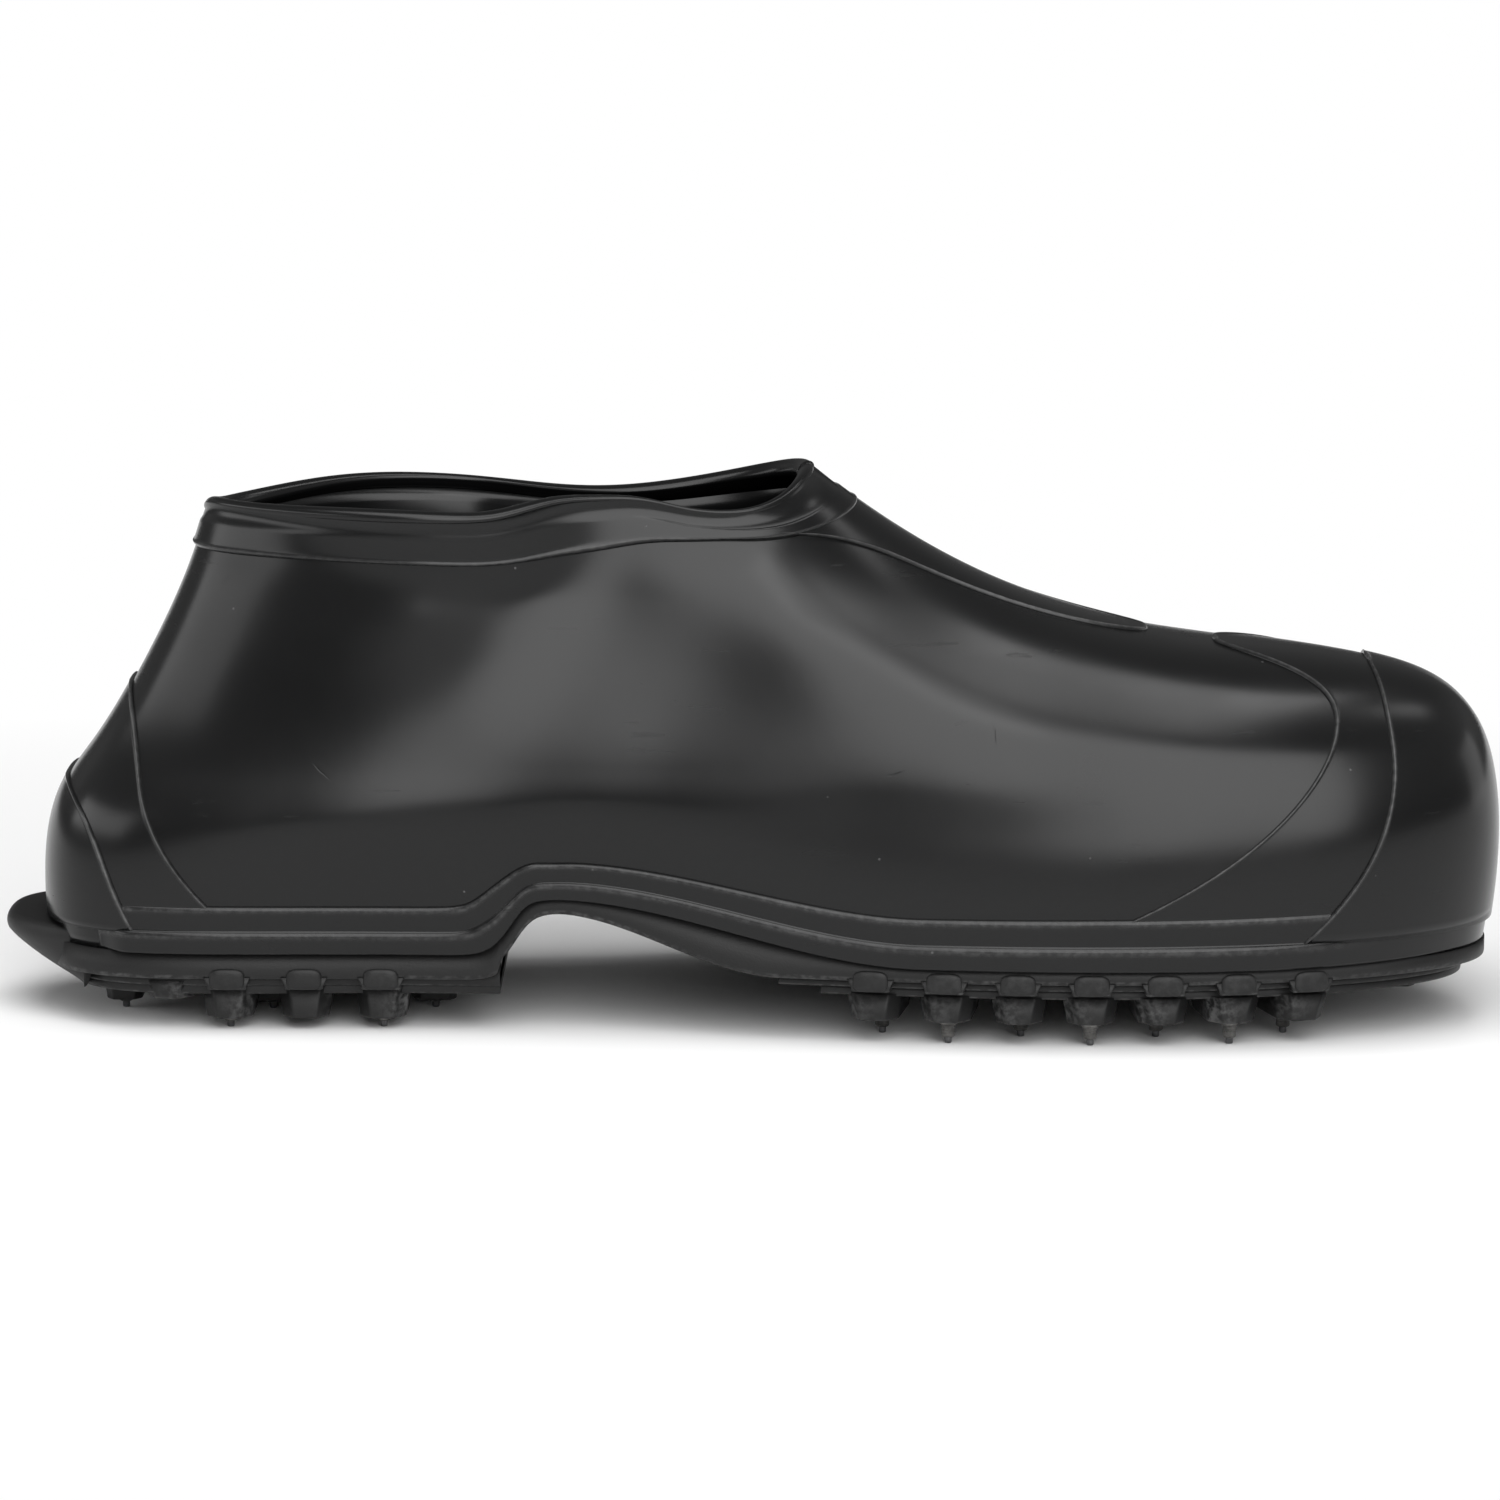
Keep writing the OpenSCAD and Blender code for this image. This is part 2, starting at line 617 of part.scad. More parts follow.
module heel_tread() {
    color(sole_rubber) difference() {
        union() {
            tread_plate(heel_rear_x, heel_front_x, heel_rear_x);
            for (side = [-1, 1], x = heel_xs) edge_lug(x, side, heel_lug_d, heel_lug_h);
            for (side = [-1, 1]) {
                centre_lug(rear_spot(side), rear_lug, heel_lug_h);
                edge_lug(corner_x, side, corner_lug_d, bar_h);
            }
            for (i = [0:len(inner_xs) - 1]) centre_lug([inner_xs[i], inner_stud_y(i)], inner_lug, heel_lug_h);
        }
        for (p = heel_spots) stud_pocket(p);
    }
}

// Steel jacket: flange in the rubber, body, collar under the lug and a nose round the pin
module stud_jacket(p) {
    b = stud_d / 2;
    bore = pin_d / 2 + stud_play / 2;
    color(steel) translate([p.x, p.y, 0]) rotate_extrude($fn = 32) polygon([
        [bore, nose_h], [b - waist - nose_taper, nose_h], [b - waist, nose_h + nose_taper],
        [b - waist, lug_h - collar_t - nose_taper],
        [stud_collar_d / 2, lug_h - collar_t], [stud_collar_d / 2, lug_h - stud_play], [b, lug_h - stud_play],
        [b, flange_h], [flange_d / 2, flange_h], [flange_d / 2, flange_h + flange_t], [0, flange_h + flange_t],
        [0, pin_seat_h], [bore, pin_seat_h]]);
}

// Sintered carbide pin with a chamfered tip
module carbide_pin(p) {
    r = pin_d / 2;
    chamfer = 0.25;
    color(carbide) translate([p.x, p.y, 0]) rotate_extrude($fn = 32) polygon([
        [0, 0], [r - chamfer, 0], [r, chamfer],
        [r, pin_seat_h - stud_play / 2], [0, pin_seat_h - stud_play / 2]]);
}

upper();
collar_band();
instep_tongue();
toe_cap();
toe_guard();
heel_counter();
heel_guard();
foxing();
insole();
outsole();
forefoot_tread();
heel_tread();
for (i = [1:stud_n]) stud_jacket(stud_spots[i - 1]);
for (i = [1:stud_n]) carbide_pin(stud_spots[i - 1]);
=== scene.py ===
"""Stretch rubber overshoe with a studded ice sole, left foot.

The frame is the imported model's: +X points to the toe, +Y to the outer side of the foot and +Z up,
in metres, with the stud tips on Z = 0.
"""

import math

import bmesh
import bpy
import numpy as np
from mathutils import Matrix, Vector


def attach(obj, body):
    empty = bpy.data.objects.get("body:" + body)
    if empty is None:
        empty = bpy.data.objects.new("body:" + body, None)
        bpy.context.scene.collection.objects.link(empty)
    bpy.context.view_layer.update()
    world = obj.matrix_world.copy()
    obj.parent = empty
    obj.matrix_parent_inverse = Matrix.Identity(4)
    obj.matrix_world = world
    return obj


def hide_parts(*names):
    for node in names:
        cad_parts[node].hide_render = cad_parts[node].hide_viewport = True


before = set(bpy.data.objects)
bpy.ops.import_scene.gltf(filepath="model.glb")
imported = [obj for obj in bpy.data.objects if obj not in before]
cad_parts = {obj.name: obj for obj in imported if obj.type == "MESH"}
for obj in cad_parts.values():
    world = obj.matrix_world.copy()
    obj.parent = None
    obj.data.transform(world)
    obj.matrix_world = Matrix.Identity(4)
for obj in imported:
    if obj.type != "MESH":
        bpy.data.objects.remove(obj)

bl_info = {
    "name": "Studded Rubber Overshoe",
    "version": (1, 0, 0),
    "blender": (4, 5, 0),
    "location": "View3D > Sidebar > Overshoe",
    "description": "Builds a stretch rubber overshoe with lugs and ice studs on its packed model",
    "category": "Add Mesh",
}

BODY = "root"
MM = 0.001
TAU = 2 * math.pi

# Rails of the last from the seam to the rim, in percent: rear and front end along the length,
# heights at rear, sides and front up the wall, half widths at heel, waist, ball and toe
RAILS = (
    (0.4, 99.2, (0, 0, 0), (96, 93, 96, 93)),
    (0.0, 100.0, (15, 15, 18), (100, 98, 100, 100)),
    (0.6, 99.8, (32, 30.5, 40.5), (102, 100, 95, 98)),
    (2.9, 98.0, (41, 43, 54.3), (88.5, 100.5, 92, 84)),
    (5.4, 94.0, (54, 54, 62), (83, 97.5, 83, 69)),
    (7.6, 84.0, (68, 65.5, 66), (79, 93, 73.5, 57)),
    (9.2, 71.0, (79, 77, 70.3), (73, 89.5, 69, 52)),
    (10.5, 59.0, (90, 89, 89.2), (66, 82.5, 68.5, 60)),
    (11.4, 51.7, (100.6, 100.2, 111), (56.5, 83.5, 67, 71)),
)
WIDTH_STATIONS = (0.10, 0.40, 0.70, 0.92)
BLUNTNESS = 0.36

# Shares of the length from which and over which the toe turns inwards
TURN_FROM = 0.686
TURN_RUN = 0.314

# Steepness with which the rim climbs to its front on either side
CLIMB_OUTER = 1.5
CLIMB_INNER = 13

# Heel breast, crown and front end of the arch in percent of the length, at the seam and under the
# sole, with the softness of the breast at the seam and how it grows up the wall
SEAM_ARCH = (32.25, 35.5, 60.26)
SOLE_ARCH = (32.75, 35.17, 50.66)
BREAST_SOFT = 0.0019
BREAST_SOFTER = 0.022

# Drawn-in ankle: place in percent of the length, shift to the toe at the seam, share of the wall
# from which it grows, spread at the rim, added spread to the toe at the seam and its softness
ANKLE = 42.92
ANKLE_SHIFT = 0.0075
ANKLE_FROM = 0.11
ANKLE_SPREAD = 0.0215
ANKLE_TAIL = 0.010
ANKLE_TURN = 0.006

# Fades of the forms of the wall: share above the seam, and sine of the angle beside toe and heel
LOW_FADE = 0.2
SIDE_FADE = 0.3

# Shares of the wall: top of the upper, lower edge of the band, top of the tongue under the band,
# middle of the bead, edges of the foxing's two steps, and the painted highlight line below each edge
UPPER_TOP = 0.9795
BAND_LOW = 0.935
BAND_LOW_FRONT = 0.966
TONGUE_TOP = BAND_LOW_FRONT + 0.004
BEAD_AT = 0.9915
FOXING_TOP = 0.046
FOXING_STEP = 0.0205
FOXING_PALE = 0.004

# Places of lugs in percent of the length, and their distance from the centre line
FORE_FIRST = 56.79
HEEL_FIRST = 13.08
HEEL_MIDDLE = (15.56, 21.19, 26.82)
HEEL_OFFSET = 10.5 * MM
CORNER_LUGS = 8.77
REAR_LUGS = 5.3
REAR_OFFSET = 8 * MM
TOE_BAR = 93.38

# Ends of the tread plates in percent of the length
FORE_PLATE = 50.6
FORE_STEP = 53.48
HEEL_BREAST = 31.62

# Forms of the lugs: slope of the corner cuts, rounding of corners and lower rims, depth in the
# plate, cut of the lugs off the edge, and height of the faces that carry no stud
LUG_CUT_SLOPE = 1.4
LUG_ROUND = 0.45 * MM
LUG_RIM = 0.5 * MM
LUG_SUNK = 0.5 * MM
MIDDLE_CUT = 1.5 * MM
BAR_FACE = 6.5 * MM

# Height on a stud where its collar meets the lug, and distance within which points are merged
STUD_SEAT = 4.9 * MM
MERGE = 2e-7

# Grain, bump depth and shine of the smooth rubber
SATIN = {"grain": 0.25, "depth": 0.012 * MM, "shine": 0.32}

WHITE = (1, 1, 1, 1)


def length(label, words, metres):
    """A length property in metres."""
    return bpy.props.FloatProperty(name=label, description=words, default=metres, unit="LENGTH",
                                   precision=5)


def share(label, words, value):
    """A plain number property between 0 and 1."""
    return bpy.props.FloatProperty(name=label, description=words, default=value, subtype="FACTOR",
                                   min=0, max=1)


def colour(label, words, rgb):
    """A linear colour property."""
    return bpy.props.FloatVectorProperty(name=label, description=words, default=rgb,
                                         subtype="COLOR", size=3, min=0, max=1)


def watts(label, words, value):
    """A lamp power property."""
    return bpy.props.FloatProperty(name=label, description=words, default=value, unit="POWER")


class OvershoeUpperSizes(bpy.types.PropertyGroup):
    """Sizes of the moulded upper."""

    shoe_l: length("Length", "Length of the upper from heel to toe", 0.300)
    heel_x: length("Heel", "Place of the rear end of the upper", -0.146)
    heel_w: length("Heel width", "Width of the upper at the heel", 0.074)
    waist_w: length("Waist width", "Width of the upper at the waist", 0.092)
    ball_w: length("Ball width", "Width of the upper at the ball of the foot", 0.117)
    toe_w: length("Toe width", "Width of the upper across the toe", 0.084)
    seam_h: length("Seam height", "Height of the seam between upper and outsole", 0.017)
    collar_h: length("Rim height", "Height of the side rim above the ground", 0.1055)
    wall: length("Wall", "Thickness of the moulded wall", 0.0026)
    pinch: length("Ankle pinch", "Depth by which each side is drawn in at the ankle", 0.0104)
    hollow: length("Ankle hollow", "Depth of the slanting hollow behind the ankle", 0.0057)
    rim_wave: length("Rim wave", "Rise of the inner rim where the side is drawn in", 0.0042)
    rear_rim: length("Rear rim", "Rise of the inner rim beside the heel", 0.0016)
    outer_rim: length("Outer rim", "Rise and fall of the outer rim beside the heel", 0.0013)
    swell: length("Heel swell", "Height of the low swell in front of the heel", 0.0010)
    swing_out: length("Swing", "Sideways bend of the centre line", 0.0042)
    toe_in: length("Toe turn", "Shift of the toe tip towards the inner side", 0.009)
    mid_y: length("Mid line", "Shift of the centre line to the middle of the overall width", 0.0032)
    arch_rise: length("Arch", "Rise of the seam over the arch", 0.012)
    ripple: length("Unevenness", "Depth of the slow waves left by the mould", 0.00016)


class OvershoePlySizes(bpy.types.PropertyGroup):
    """Sizes of the plies, the collar band and the foxing."""

    proud: length("Ply", "Thickness of a toe, heel or instep ply", 0.0006)
    bevel: length("Ply edge", "Width of the rounded edge of a ply", 0.0009)
    rib: length("Edge rib", "Height of the fine rib along the edge of a ply", 0.00022)
    rib_in: length("Rib inset", "Place of the rib inside the edge", 0.0005)
    rib_r: length("Rib width", "Half width of the rib", 0.00028)
    seat: length("Bond", "Bond line below a piece that is laid on the upper", 0.00003)
    band_t: length("Band", "Thickness of the collar band", 0.0007)
    bead_w: length("Bead width", "Width of the rolled rim bead", 0.0042)
    bead_h: length("Bead height", "Height of the rolled rim bead", 0.0030)
    foxing_t: length("Foxing", "Thickness of the foxing at its lower step", 0.0019)
    insole_t: length("Insole", "Thickness of the insole ply", 0.0020)


class OvershoeSoleSizes(bpy.types.PropertyGroup):
    """Sizes of the outsole, the tread plates and the lugs."""

    welt_h: length("Underside", "Height of the underside of the outsole", 0.0136)
    under_rise: length("Arch underside", "Rise of the underside below the arch", 0.0118)
    lip: length("Lip", "Reach of the outsole outside the seam line", 0.0006)
    heel_wall: length("Heel wall", "Depth by which the heel wall reaches below the outsole", 0.0024)
    plate_h: length("Plate", "Height of the underside of the tread plates", 0.010)
    plate_step_h: length("Plate step", "Height of the step between two tiers of a plate", 0.0118)
    plate_inset: length("Plate inset", "Inset of the tread plates from the outsole edge", 0.003)
    lug_h: length("Forefoot lug face", "Height of the forefoot lug faces above the ground", 0.0049)
    heel_lug_h: length("Heel lug face", "Height of the heel lug faces above the ground", 0.0024)
    lug_w: length("Lug width", "Width of a lug at its root", 0.0116)
    fore_lug_d: length("Forefoot lug depth", "Depth of a forefoot lug from its outer face", 0.020)
    heel_lug_d: length("Heel lug depth", "Depth of a heel lug from its outer face", 0.015)
    lug_inset: length("Lug inset", "Inset of the lug faces from the outsole edge", 0.002)
    lug_draft: length("Lug draft", "Draft of a lug on each side", 0.001)
    lug_cut: length("Lug corner", "Corner cut of a lug towards the edge", 0.0024)
    fore_pitch: length("Forefoot spacing", "Spacing of the forefoot lugs", 0.0148)
    heel_pitch: length("Heel spacing", "Spacing of the heel lugs", 0.0157)
    tab_l: length("Kick-off tab", "Length of the kick-off tab behind the heel", 0.0092)
    tab_w: length("Tab width", "Width of the kick-off tab at its root", 0.054)
    tab_h: length("Tab height", "Height of the top of the kick-off tab", 0.0208)


class OvershoeStudSizes(bpy.types.PropertyGroup):
    """Sizes of the ice studs."""

    body_d: length("Body", "Diameter of the stud body", 0.003)
    collar_d: length("Collar", "Diameter of the collar under the lug", 0.0038)
    flange_d: length("Flange", "Diameter of the flange held in the rubber", 0.006)
    pin_d: length("Pin", "Diameter of the carbide pin", 0.0015)
    pin_tip: length("Pin length", "Bare length of the carbide pin", 0.0013)
    outer: length("Outer row", "Distance of an outer stud from the lug face", 0.0055)
    inner: length("Inner row", "Distance of an inner stud from the lug face", 0.0135)


class OvershoeFinish(bpy.types.PropertyGroup):
    """Colours and gloss of the finishes."""

    upper: colour("Upper", "Smooth moulded rubber", (0.0042, 0.0043, 0.0044))
    ply: colour("Plies", "Smooth rubber of the plies", (0.0043, 0.0044, 0.0045))
    sole: colour("Sole", "Matt rubber of the sole", (0.0080, 0.0080, 0.0080))
    lining: colour("Lining", "Bare inside face", (0.0100, 0.0100, 0.0102))
    steel: colour("Steel", "Zinc plated steel", (0.18, 0.177, 0.170))
    carbide: colour("Carbide", "Sintered carbide", (0.19, 0.19, 0.195))
    # The dust colour also tints the painted highlights: pale lines along ply edges, foxing steps and
    # lug facets.
    dust: colour("Dust", "Specks of moulding dust", (0.12, 0.12, 0.12))
    gloss: share("Upper roughness", "Roughness of the smooth rubber", 0.24)
    sole_gloss: share("Sole roughness", "Roughness of the sole rubber", 0.5)


class OvershoeStudio(bpy.types.PropertyGroup):
    """Studio light and camera."""

    floor: colour("Floor", "Pale floor", (0.84, 0.84, 0.84))
    fill: share("Fill", "Strength of the white room on matt surfaces", 0.1)
    top: watts("Top panel", "Power of the panel above the shoe", 10.1)
    toe_top: watts("Toe panel", "Power of the narrow panel above the toe", 2.35)
    front: watts("Front box", "Power of the soft box above the camera", 30.0)
    heel_side: watts("Heel box", "Power of the soft box beside the heel", 4.2)
    edge_side: watts("Edge lamp", "Power of the weak lamp beside the toe", 0.8)
    toe_side: watts("Toe lamp", "Power of the small lamp behind the toe", 0.35)
    tent: share("Tent", "Level of the dark tent that the gloss shows between the boxes", 0.1)
    tent_side: share("Tent sides", "Level of the tent beside the toe and the heel", 0.28)
    camera_away: length("Camera distance", "Distance of the camera from its target", 1.306)
    camera_up: bpy.props.FloatProperty(name="Camera elevation", description="Angle above the floor",
                                       default=math.radians(9.5), subtype="ANGLE")
    target_h: length("Target height", "Height that the camera looks at", 0.0525)
    lens: bpy.props.FloatProperty(name="Lens", description="Focal length in millimetres",
                                  default=150.0)


GROUPS = {
    "overshoe_upper": OvershoeUpperSizes,
    "overshoe_plies": OvershoePlySizes,
    "overshoe_sole": OvershoeSoleSizes,
    "overshoe_studs": OvershoeStudSizes,
    "overshoe_finish": OvershoeFinish,
    "overshoe_studio": OvershoeStudio,
}


def sizes(name):
    """The property group of that name on the scene."""
    return getattr(bpy.context.scene, name)


# Curves of the last


def smooth(t, start=0.0, run=1.0):
    """Soft step from 0 to 1 over a run from the start: three t squared less two t cubed."""
    c = np.clip((t - start) / run, 0, 1)
    return c * c * (3 - 2 * c)


def bell(t, middle, spread):
    """Bell curve of 1 at its middle: e to minus half the squared distance over the spread."""
    return np.exp(-(((t - middle) / spread) ** 2) / 2)


def crest(t, middle, half):
    """Narrow bell of 1 at its middle: e to minus the squared distance over the half width."""
    return np.exp(-(((t - middle) / half) ** 2))


def quarter(t):
    """Quarter circle that rises from 0 at an edge to 1 at t = 1 and stays there."""
    return np.sqrt(np.clip(1 - (1 - np.clip(t, 0, 1)) ** 2, 0, 1))


def closing(count):
    """Shares from 0 to 1 that close up towards 1: one less the square of what is left."""
    return 1 - (1 - np.linspace(0, 1, count)) ** 2


def stations(first, last, count):
    """Stations from first to last that close up towards both ends, by half a cosine wave."""
    a = np.linspace(0, math.pi, count)
    return first + (last - first) * (1 - np.cos(a)) / 2


def round_angles(count):
    """Angles of a full turn, evenly spread."""
    return np.linspace(0, TAU, count, endpoint=False)


def along(percent):
    """Place along the shoe at a percentage of the length from the heel."""
    u = sizes("overshoe_upper")
    return u.heel_x + u.shoe_l * percent / 100


def end_round(t):
    """Rounding of the two ends of a rail: four t (1 - t) to the power of the bluntness."""
    return np.maximum(4 * t * (1 - t), 0) ** BLUNTNESS


def half_width(percents, t):
    """Half width of a rail: the cubic through the four stations, times the rounding of the ends."""
    u = sizes("overshoe_upper")
    full = np.array((u.heel_w, u.waist_w, u.ball_w, u.toe_w)) / 200
    total = 0
    for i, station in enumerate(WIDTH_STATIONS):
        term = percents[i] * full[i] / end_round(station)
        for j, other in enumerate(WIDTH_STATIONS):
            if j != i:
                term = term * (t - other) / (station - other)
        total = total + term
    return total * end_round(t)


def swing(x):
    """Centre line of the last: half a sine wave outwards, less a parabola that turns the toe in."""
    u = sizes("overshoe_upper")
    t = np.clip((x - u.heel_x) / u.shoe_l, 0, 1)
    toe = np.clip((t - TURN_FROM) / TURN_RUN, 0, 1)
    return u.swing_out * np.sin(math.pi * t) - u.toe_in * toe**2 - u.mid_y


def rail(k, phi):
    """Points of rail k at angle phi: the cosine runs along the length and the half width goes to
    the side. From the height of the sides a rail climbs by a cube to the heel and by a steeper
    power to the toe."""
    u = sizes("overshoe_upper")
    rear, front, (rear_z, side_z, front_z), percents = RAILS[k]
    t = (1 + np.cos(phi)) / 2
    x = along(rear + (front - rear) * t)
    y = swing(x) + np.sign(np.sin(phi)) * half_width(percents, t)
    climb = 3 + np.where(np.sin(phi) > 0, CLIMB_OUTER, CLIMB_INNER) * (k / (len(RAILS) - 1)) ** 4
    z = side_z + (rear_z - side_z) * (1 - t) ** 3 + (front_z - side_z) * t**climb
    return np.stack([x, y, u.seam_h + (u.collar_h - u.seam_h) * z / 100], -1)


def spline_weights(v):
    """Clamped cubic B-spline weights of the rails at share v, by recursion on the knots."""
    spans = len(RAILS) - 3
    knots = np.concatenate([np.zeros(3), np.linspace(0, 1, spans + 1), np.ones(3)])
    just_below_one = 1 - 1e-9
    c = np.clip(v, 0, just_below_one)
    rows = [np.where((knots[i] <= c) & (c < knots[i + 1]), 1.0, 0.0) for i in range(len(knots) - 1)]
    for d in (1, 2, 3):
        made = []
        for i in range(len(knots) - 1 - d):
            left = knots[i + d] - knots[i]
            right = knots[i + d + 1] - knots[i + 1]
            a = (c - knots[i]) / left * rows[i] if left > 0 else 0
            b = (knots[i + d + 1] - c) / right * rows[i + 1] if right > 0 else 0
            made.append(a + b)
        rows = made
    return rows


def arch(x, places, soft=BREAST_SOFT):
    """Logistic step up at the heel breast that fades out from the crown to the front end."""
    breast, crown, end = (along(percent) for percent in places)
    rise = 1 / (1 + np.exp((breast - x) / soft))
    return rise * (1 - smooth(x, crown, end - crown))


def seam_z(x, v=0.0):
    """Height of the seam at x; its lift softens with the share v up the wall."""
    u = sizes("overshoe_upper")
    return u.seam_h + u.arch_rise * arch(x, SEAM_ARCH, BREAST_SOFT + BREAST_SOFTER * v)


def under_z(x):
    """Height of the underside of the outsole at x."""
    s = sizes("overshoe_sole")
    return s.welt_h + s.under_rise * arch(x, SOLE_ARCH)


def slanted_bell(x, z, place, run, width, degrees):
    """Bell curve of 1 at a place of the side wall, with a spread along and one across its slant."""
    slant = math.radians(degrees)
    dx = x - along(place[0])
    dz = z - place[1]
    run_share = (dx * math.cos(slant) + dz * math.sin(slant)) / run
    width_share = (dz * math.cos(slant) - dx * math.sin(slant)) / width
    return np.exp(-(run_share**2 + width_share**2) / 2)


def hollow(x, z):
    """Depth of the slanting hollow behind the ankle, less the low swell in front of the heel."""
    u = sizes("overshoe_upper")
    sunk = slanted_bell(x, z, (36.43, 0.0958), run=0.0217, width=0.0122, degrees=68.4)
    swelled = slanted_bell(x, z, (22.31, 0.0443), run=0.0131, width=0.0109, degrees=45)
    return u.hollow * sunk - u.swell * swelled


def ankle_draw(x, z, v):
    """Depth by which a side is drawn in: a bell round the ankle, which moves to the toe down the
    wall, grows up it and has a longer tail low on it, plus the hollow behind the ankle."""
    u = sizes("overshoe_upper")
    grown = smooth(v, ANKLE_FROM, 1 - ANKLE_FROM)
    away = x - along(ANKLE) - ANKLE_SHIFT * (1 - v)
    tail = ANKLE_TAIL * (1 - grown) / (1 + np.exp(-away / ANKLE_TURN))
    pinch = u.pinch * grown * bell(away, 0, ANKLE_SPREAD + tail)
    return pinch + hollow(x, z) * smooth(v, 0, LOW_FADE)


def rim_lift(x, v, phi):
    """Rise of the rim as it stands. The inner rim has a swell with a flat top where its side is
    drawn in, and a low rise beside the heel. The outer rim has a bell in front of the heel less a
    narrower one behind it."""
    u = sizes("overshoe_upper")
    inner_side = smooth(-np.sin(phi), 0, SIDE_FADE)
    outer_side = smooth(np.sin(phi), 0, SIDE_FADE)
    near_rim = smooth(v, 0.87, 0.13)
    at_rim = smooth(v, 0.93, 0.07)
    rear = u.rear_rim * at_rim * (1 - smooth(x, along(45), 0.02))
    wave = u.rim_wave * near_rim * np.exp(-np.abs((x - along(38.5)) / 0.017) ** 3)
    beside_heel = bell(x, along(20), 0.018) - bell(x, along(11), 0.012)
    return inner_side * (rear + wave) + u.outer_rim * (outer_side * near_rim) * beside_heel


def mould_wave(x, z, v, phi):
    """Slow waves left by the mould: two crossed sine waves and a finer one, faded at both edges."""
    wave = np.sin(71 * x + 40 * z) * np.sin(53 * z + 2 * phi) + 0.6 * np.sin(131 * x - 87 * z + 3)
    return wave * smooth(v, 0, LOW_FADE) * (1 - smooth(v, 0.8, 0.15))


def skin(phi, v):
    """Outer skin of the upper: the rails blended by spline weights, lifted over the arch low on the
    wall and drawn in at the ankle, where it sinks a little, with the rim as it stands and the waves
    of the mould."""
    u = sizes("overshoe_upper")
    phi, v = np.broadcast_arrays(np.asarray(phi, float), np.asarray(v, float))
    p = sum(w[..., None] * rail(k, phi) for k, w in enumerate(spline_weights(v)))
    x, y, z = p[..., 0], p[..., 1], p[..., 2]
    arch_fade = np.clip(1 - v / 0.35, 0, 1) ** 1.5
    z = z + (seam_z(x, v) - u.seam_h) * arch_fade
    most = 0.8 * np.abs(y - swing(x))
    drawn = np.minimum(ankle_draw(x, z, v), most)
    sunk = 0.1 * drawn
    z = z - sunk + rim_lift(x, v, phi)
    depth = drawn + u.ripple * mould_wave(x, z, v, phi)
    return np.stack([x, y - np.sign(np.sin(phi)) * depth, z], -1)


def skin_frame(phi, v):
    """Point, outward normal and edge lengths per step of phi and v, by central differences."""
    turn = 0.006
    step = 0.003
    phi, v = np.broadcast_arrays(np.asarray(phi, float), np.asarray(v, float))
    low = np.maximum(v - step, 0)
    high = np.minimum(v + step, 1)
    around = (skin(phi + turn, v) - skin(phi - turn, v)) / (2 * turn)
    up = (skin(phi, high) - skin(phi, low)) / (high - low)[..., None]
    normal = np.cross(around, up)
    normal /= np.linalg.norm(normal, axis=-1, keepdims=True)
    return skin(phi, v), normal, np.linalg.norm(around, axis=-1), np.linalg.norm(up, axis=-1)


def offset_skin(phi, v, d):
    """Skin moved out by d along its normal."""
    p, n, _, _ = skin_frame(phi, v)
    return p + np.broadcast_to(d, p.shape[:-1])[..., None] * n


def edge_ends(inset):
    """Rear and front end of the outsole outline, drawn in by an inset."""
    rear, front, _, _ = RAILS[0]
    return along(rear) + inset, along(front) - inset


def edge_half(x, inset):
    """Half width of the outsole outline at x, drawn in by an inset on all sides."""
    first, last = edge_ends(inset)
    t = np.clip((x - first) / (last - first), 0, 1)
    return np.maximum(half_width(RAILS[0][3], t) - inset * end_round(t), 0)


def edge_place(x, side, inset):
    """Point on the outsole outline at x, moved inwards by an inset, and the edge's turn there."""
    near = np.array([x - MM, x + MM])
    ends = swing(near) + side * edge_half(near, 0)
    turn = math.atan2(ends[1] - ends[0], 2 * MM)
    y = float(swing(x) + side * edge_half(x, 0))
    return np.array([x + side * inset * math.sin(turn), y - side * inset * math.cos(turn)]), turn


# Grids and meshes


def grid_quads(n, m, loop_n, loop_m):
    """Quads of an n by m grid of points, closed round either way where asked."""
    i = np.arange(n if loop_n else n - 1)
    j = np.arange(m if loop_m else m - 1)
    i, j = np.meshgrid(i, j, indexing="ij")
    a = i * m + j
    b = (i + 1) % n * m + j
    c = (i + 1) % n * m + (j + 1) % m
    d = i * m + (j + 1) % m
    return np.stack([a, b, c, d], -1).reshape(-1, 4)


def end_quads(n, m):
    """Quads that close both ends of an open sweep, joining points across its loop."""
    j = np.arange(m // 2 - 1)
    first = np.stack([j, j + 1, m - 2 - j, m - 1 - j], -1)
    return np.concatenate([first, first[:, ::-1] + (n - 1) * m])


def ring(points):
    """Shell of a closed loop of closed sections."""
    n, m, _ = points.shape
    return points.reshape(-1, 3), grid_quads(n, m, True, True)


def sweep(points):
    """Shell of an open run of closed sections, with both ends closed."""
    n, m, _ = points.shape
    return points.reshape(-1, 3), np.concatenate([grid_quads(n, m, False, True), end_quads(n, m)])


def rounds(points):
    """Shell of rows that run round, whose first and last rows shrink to a point or stay open."""
    n, m, _ = points.shape
    return points.reshape(-1, 3), grid_quads(n, m, False, True)


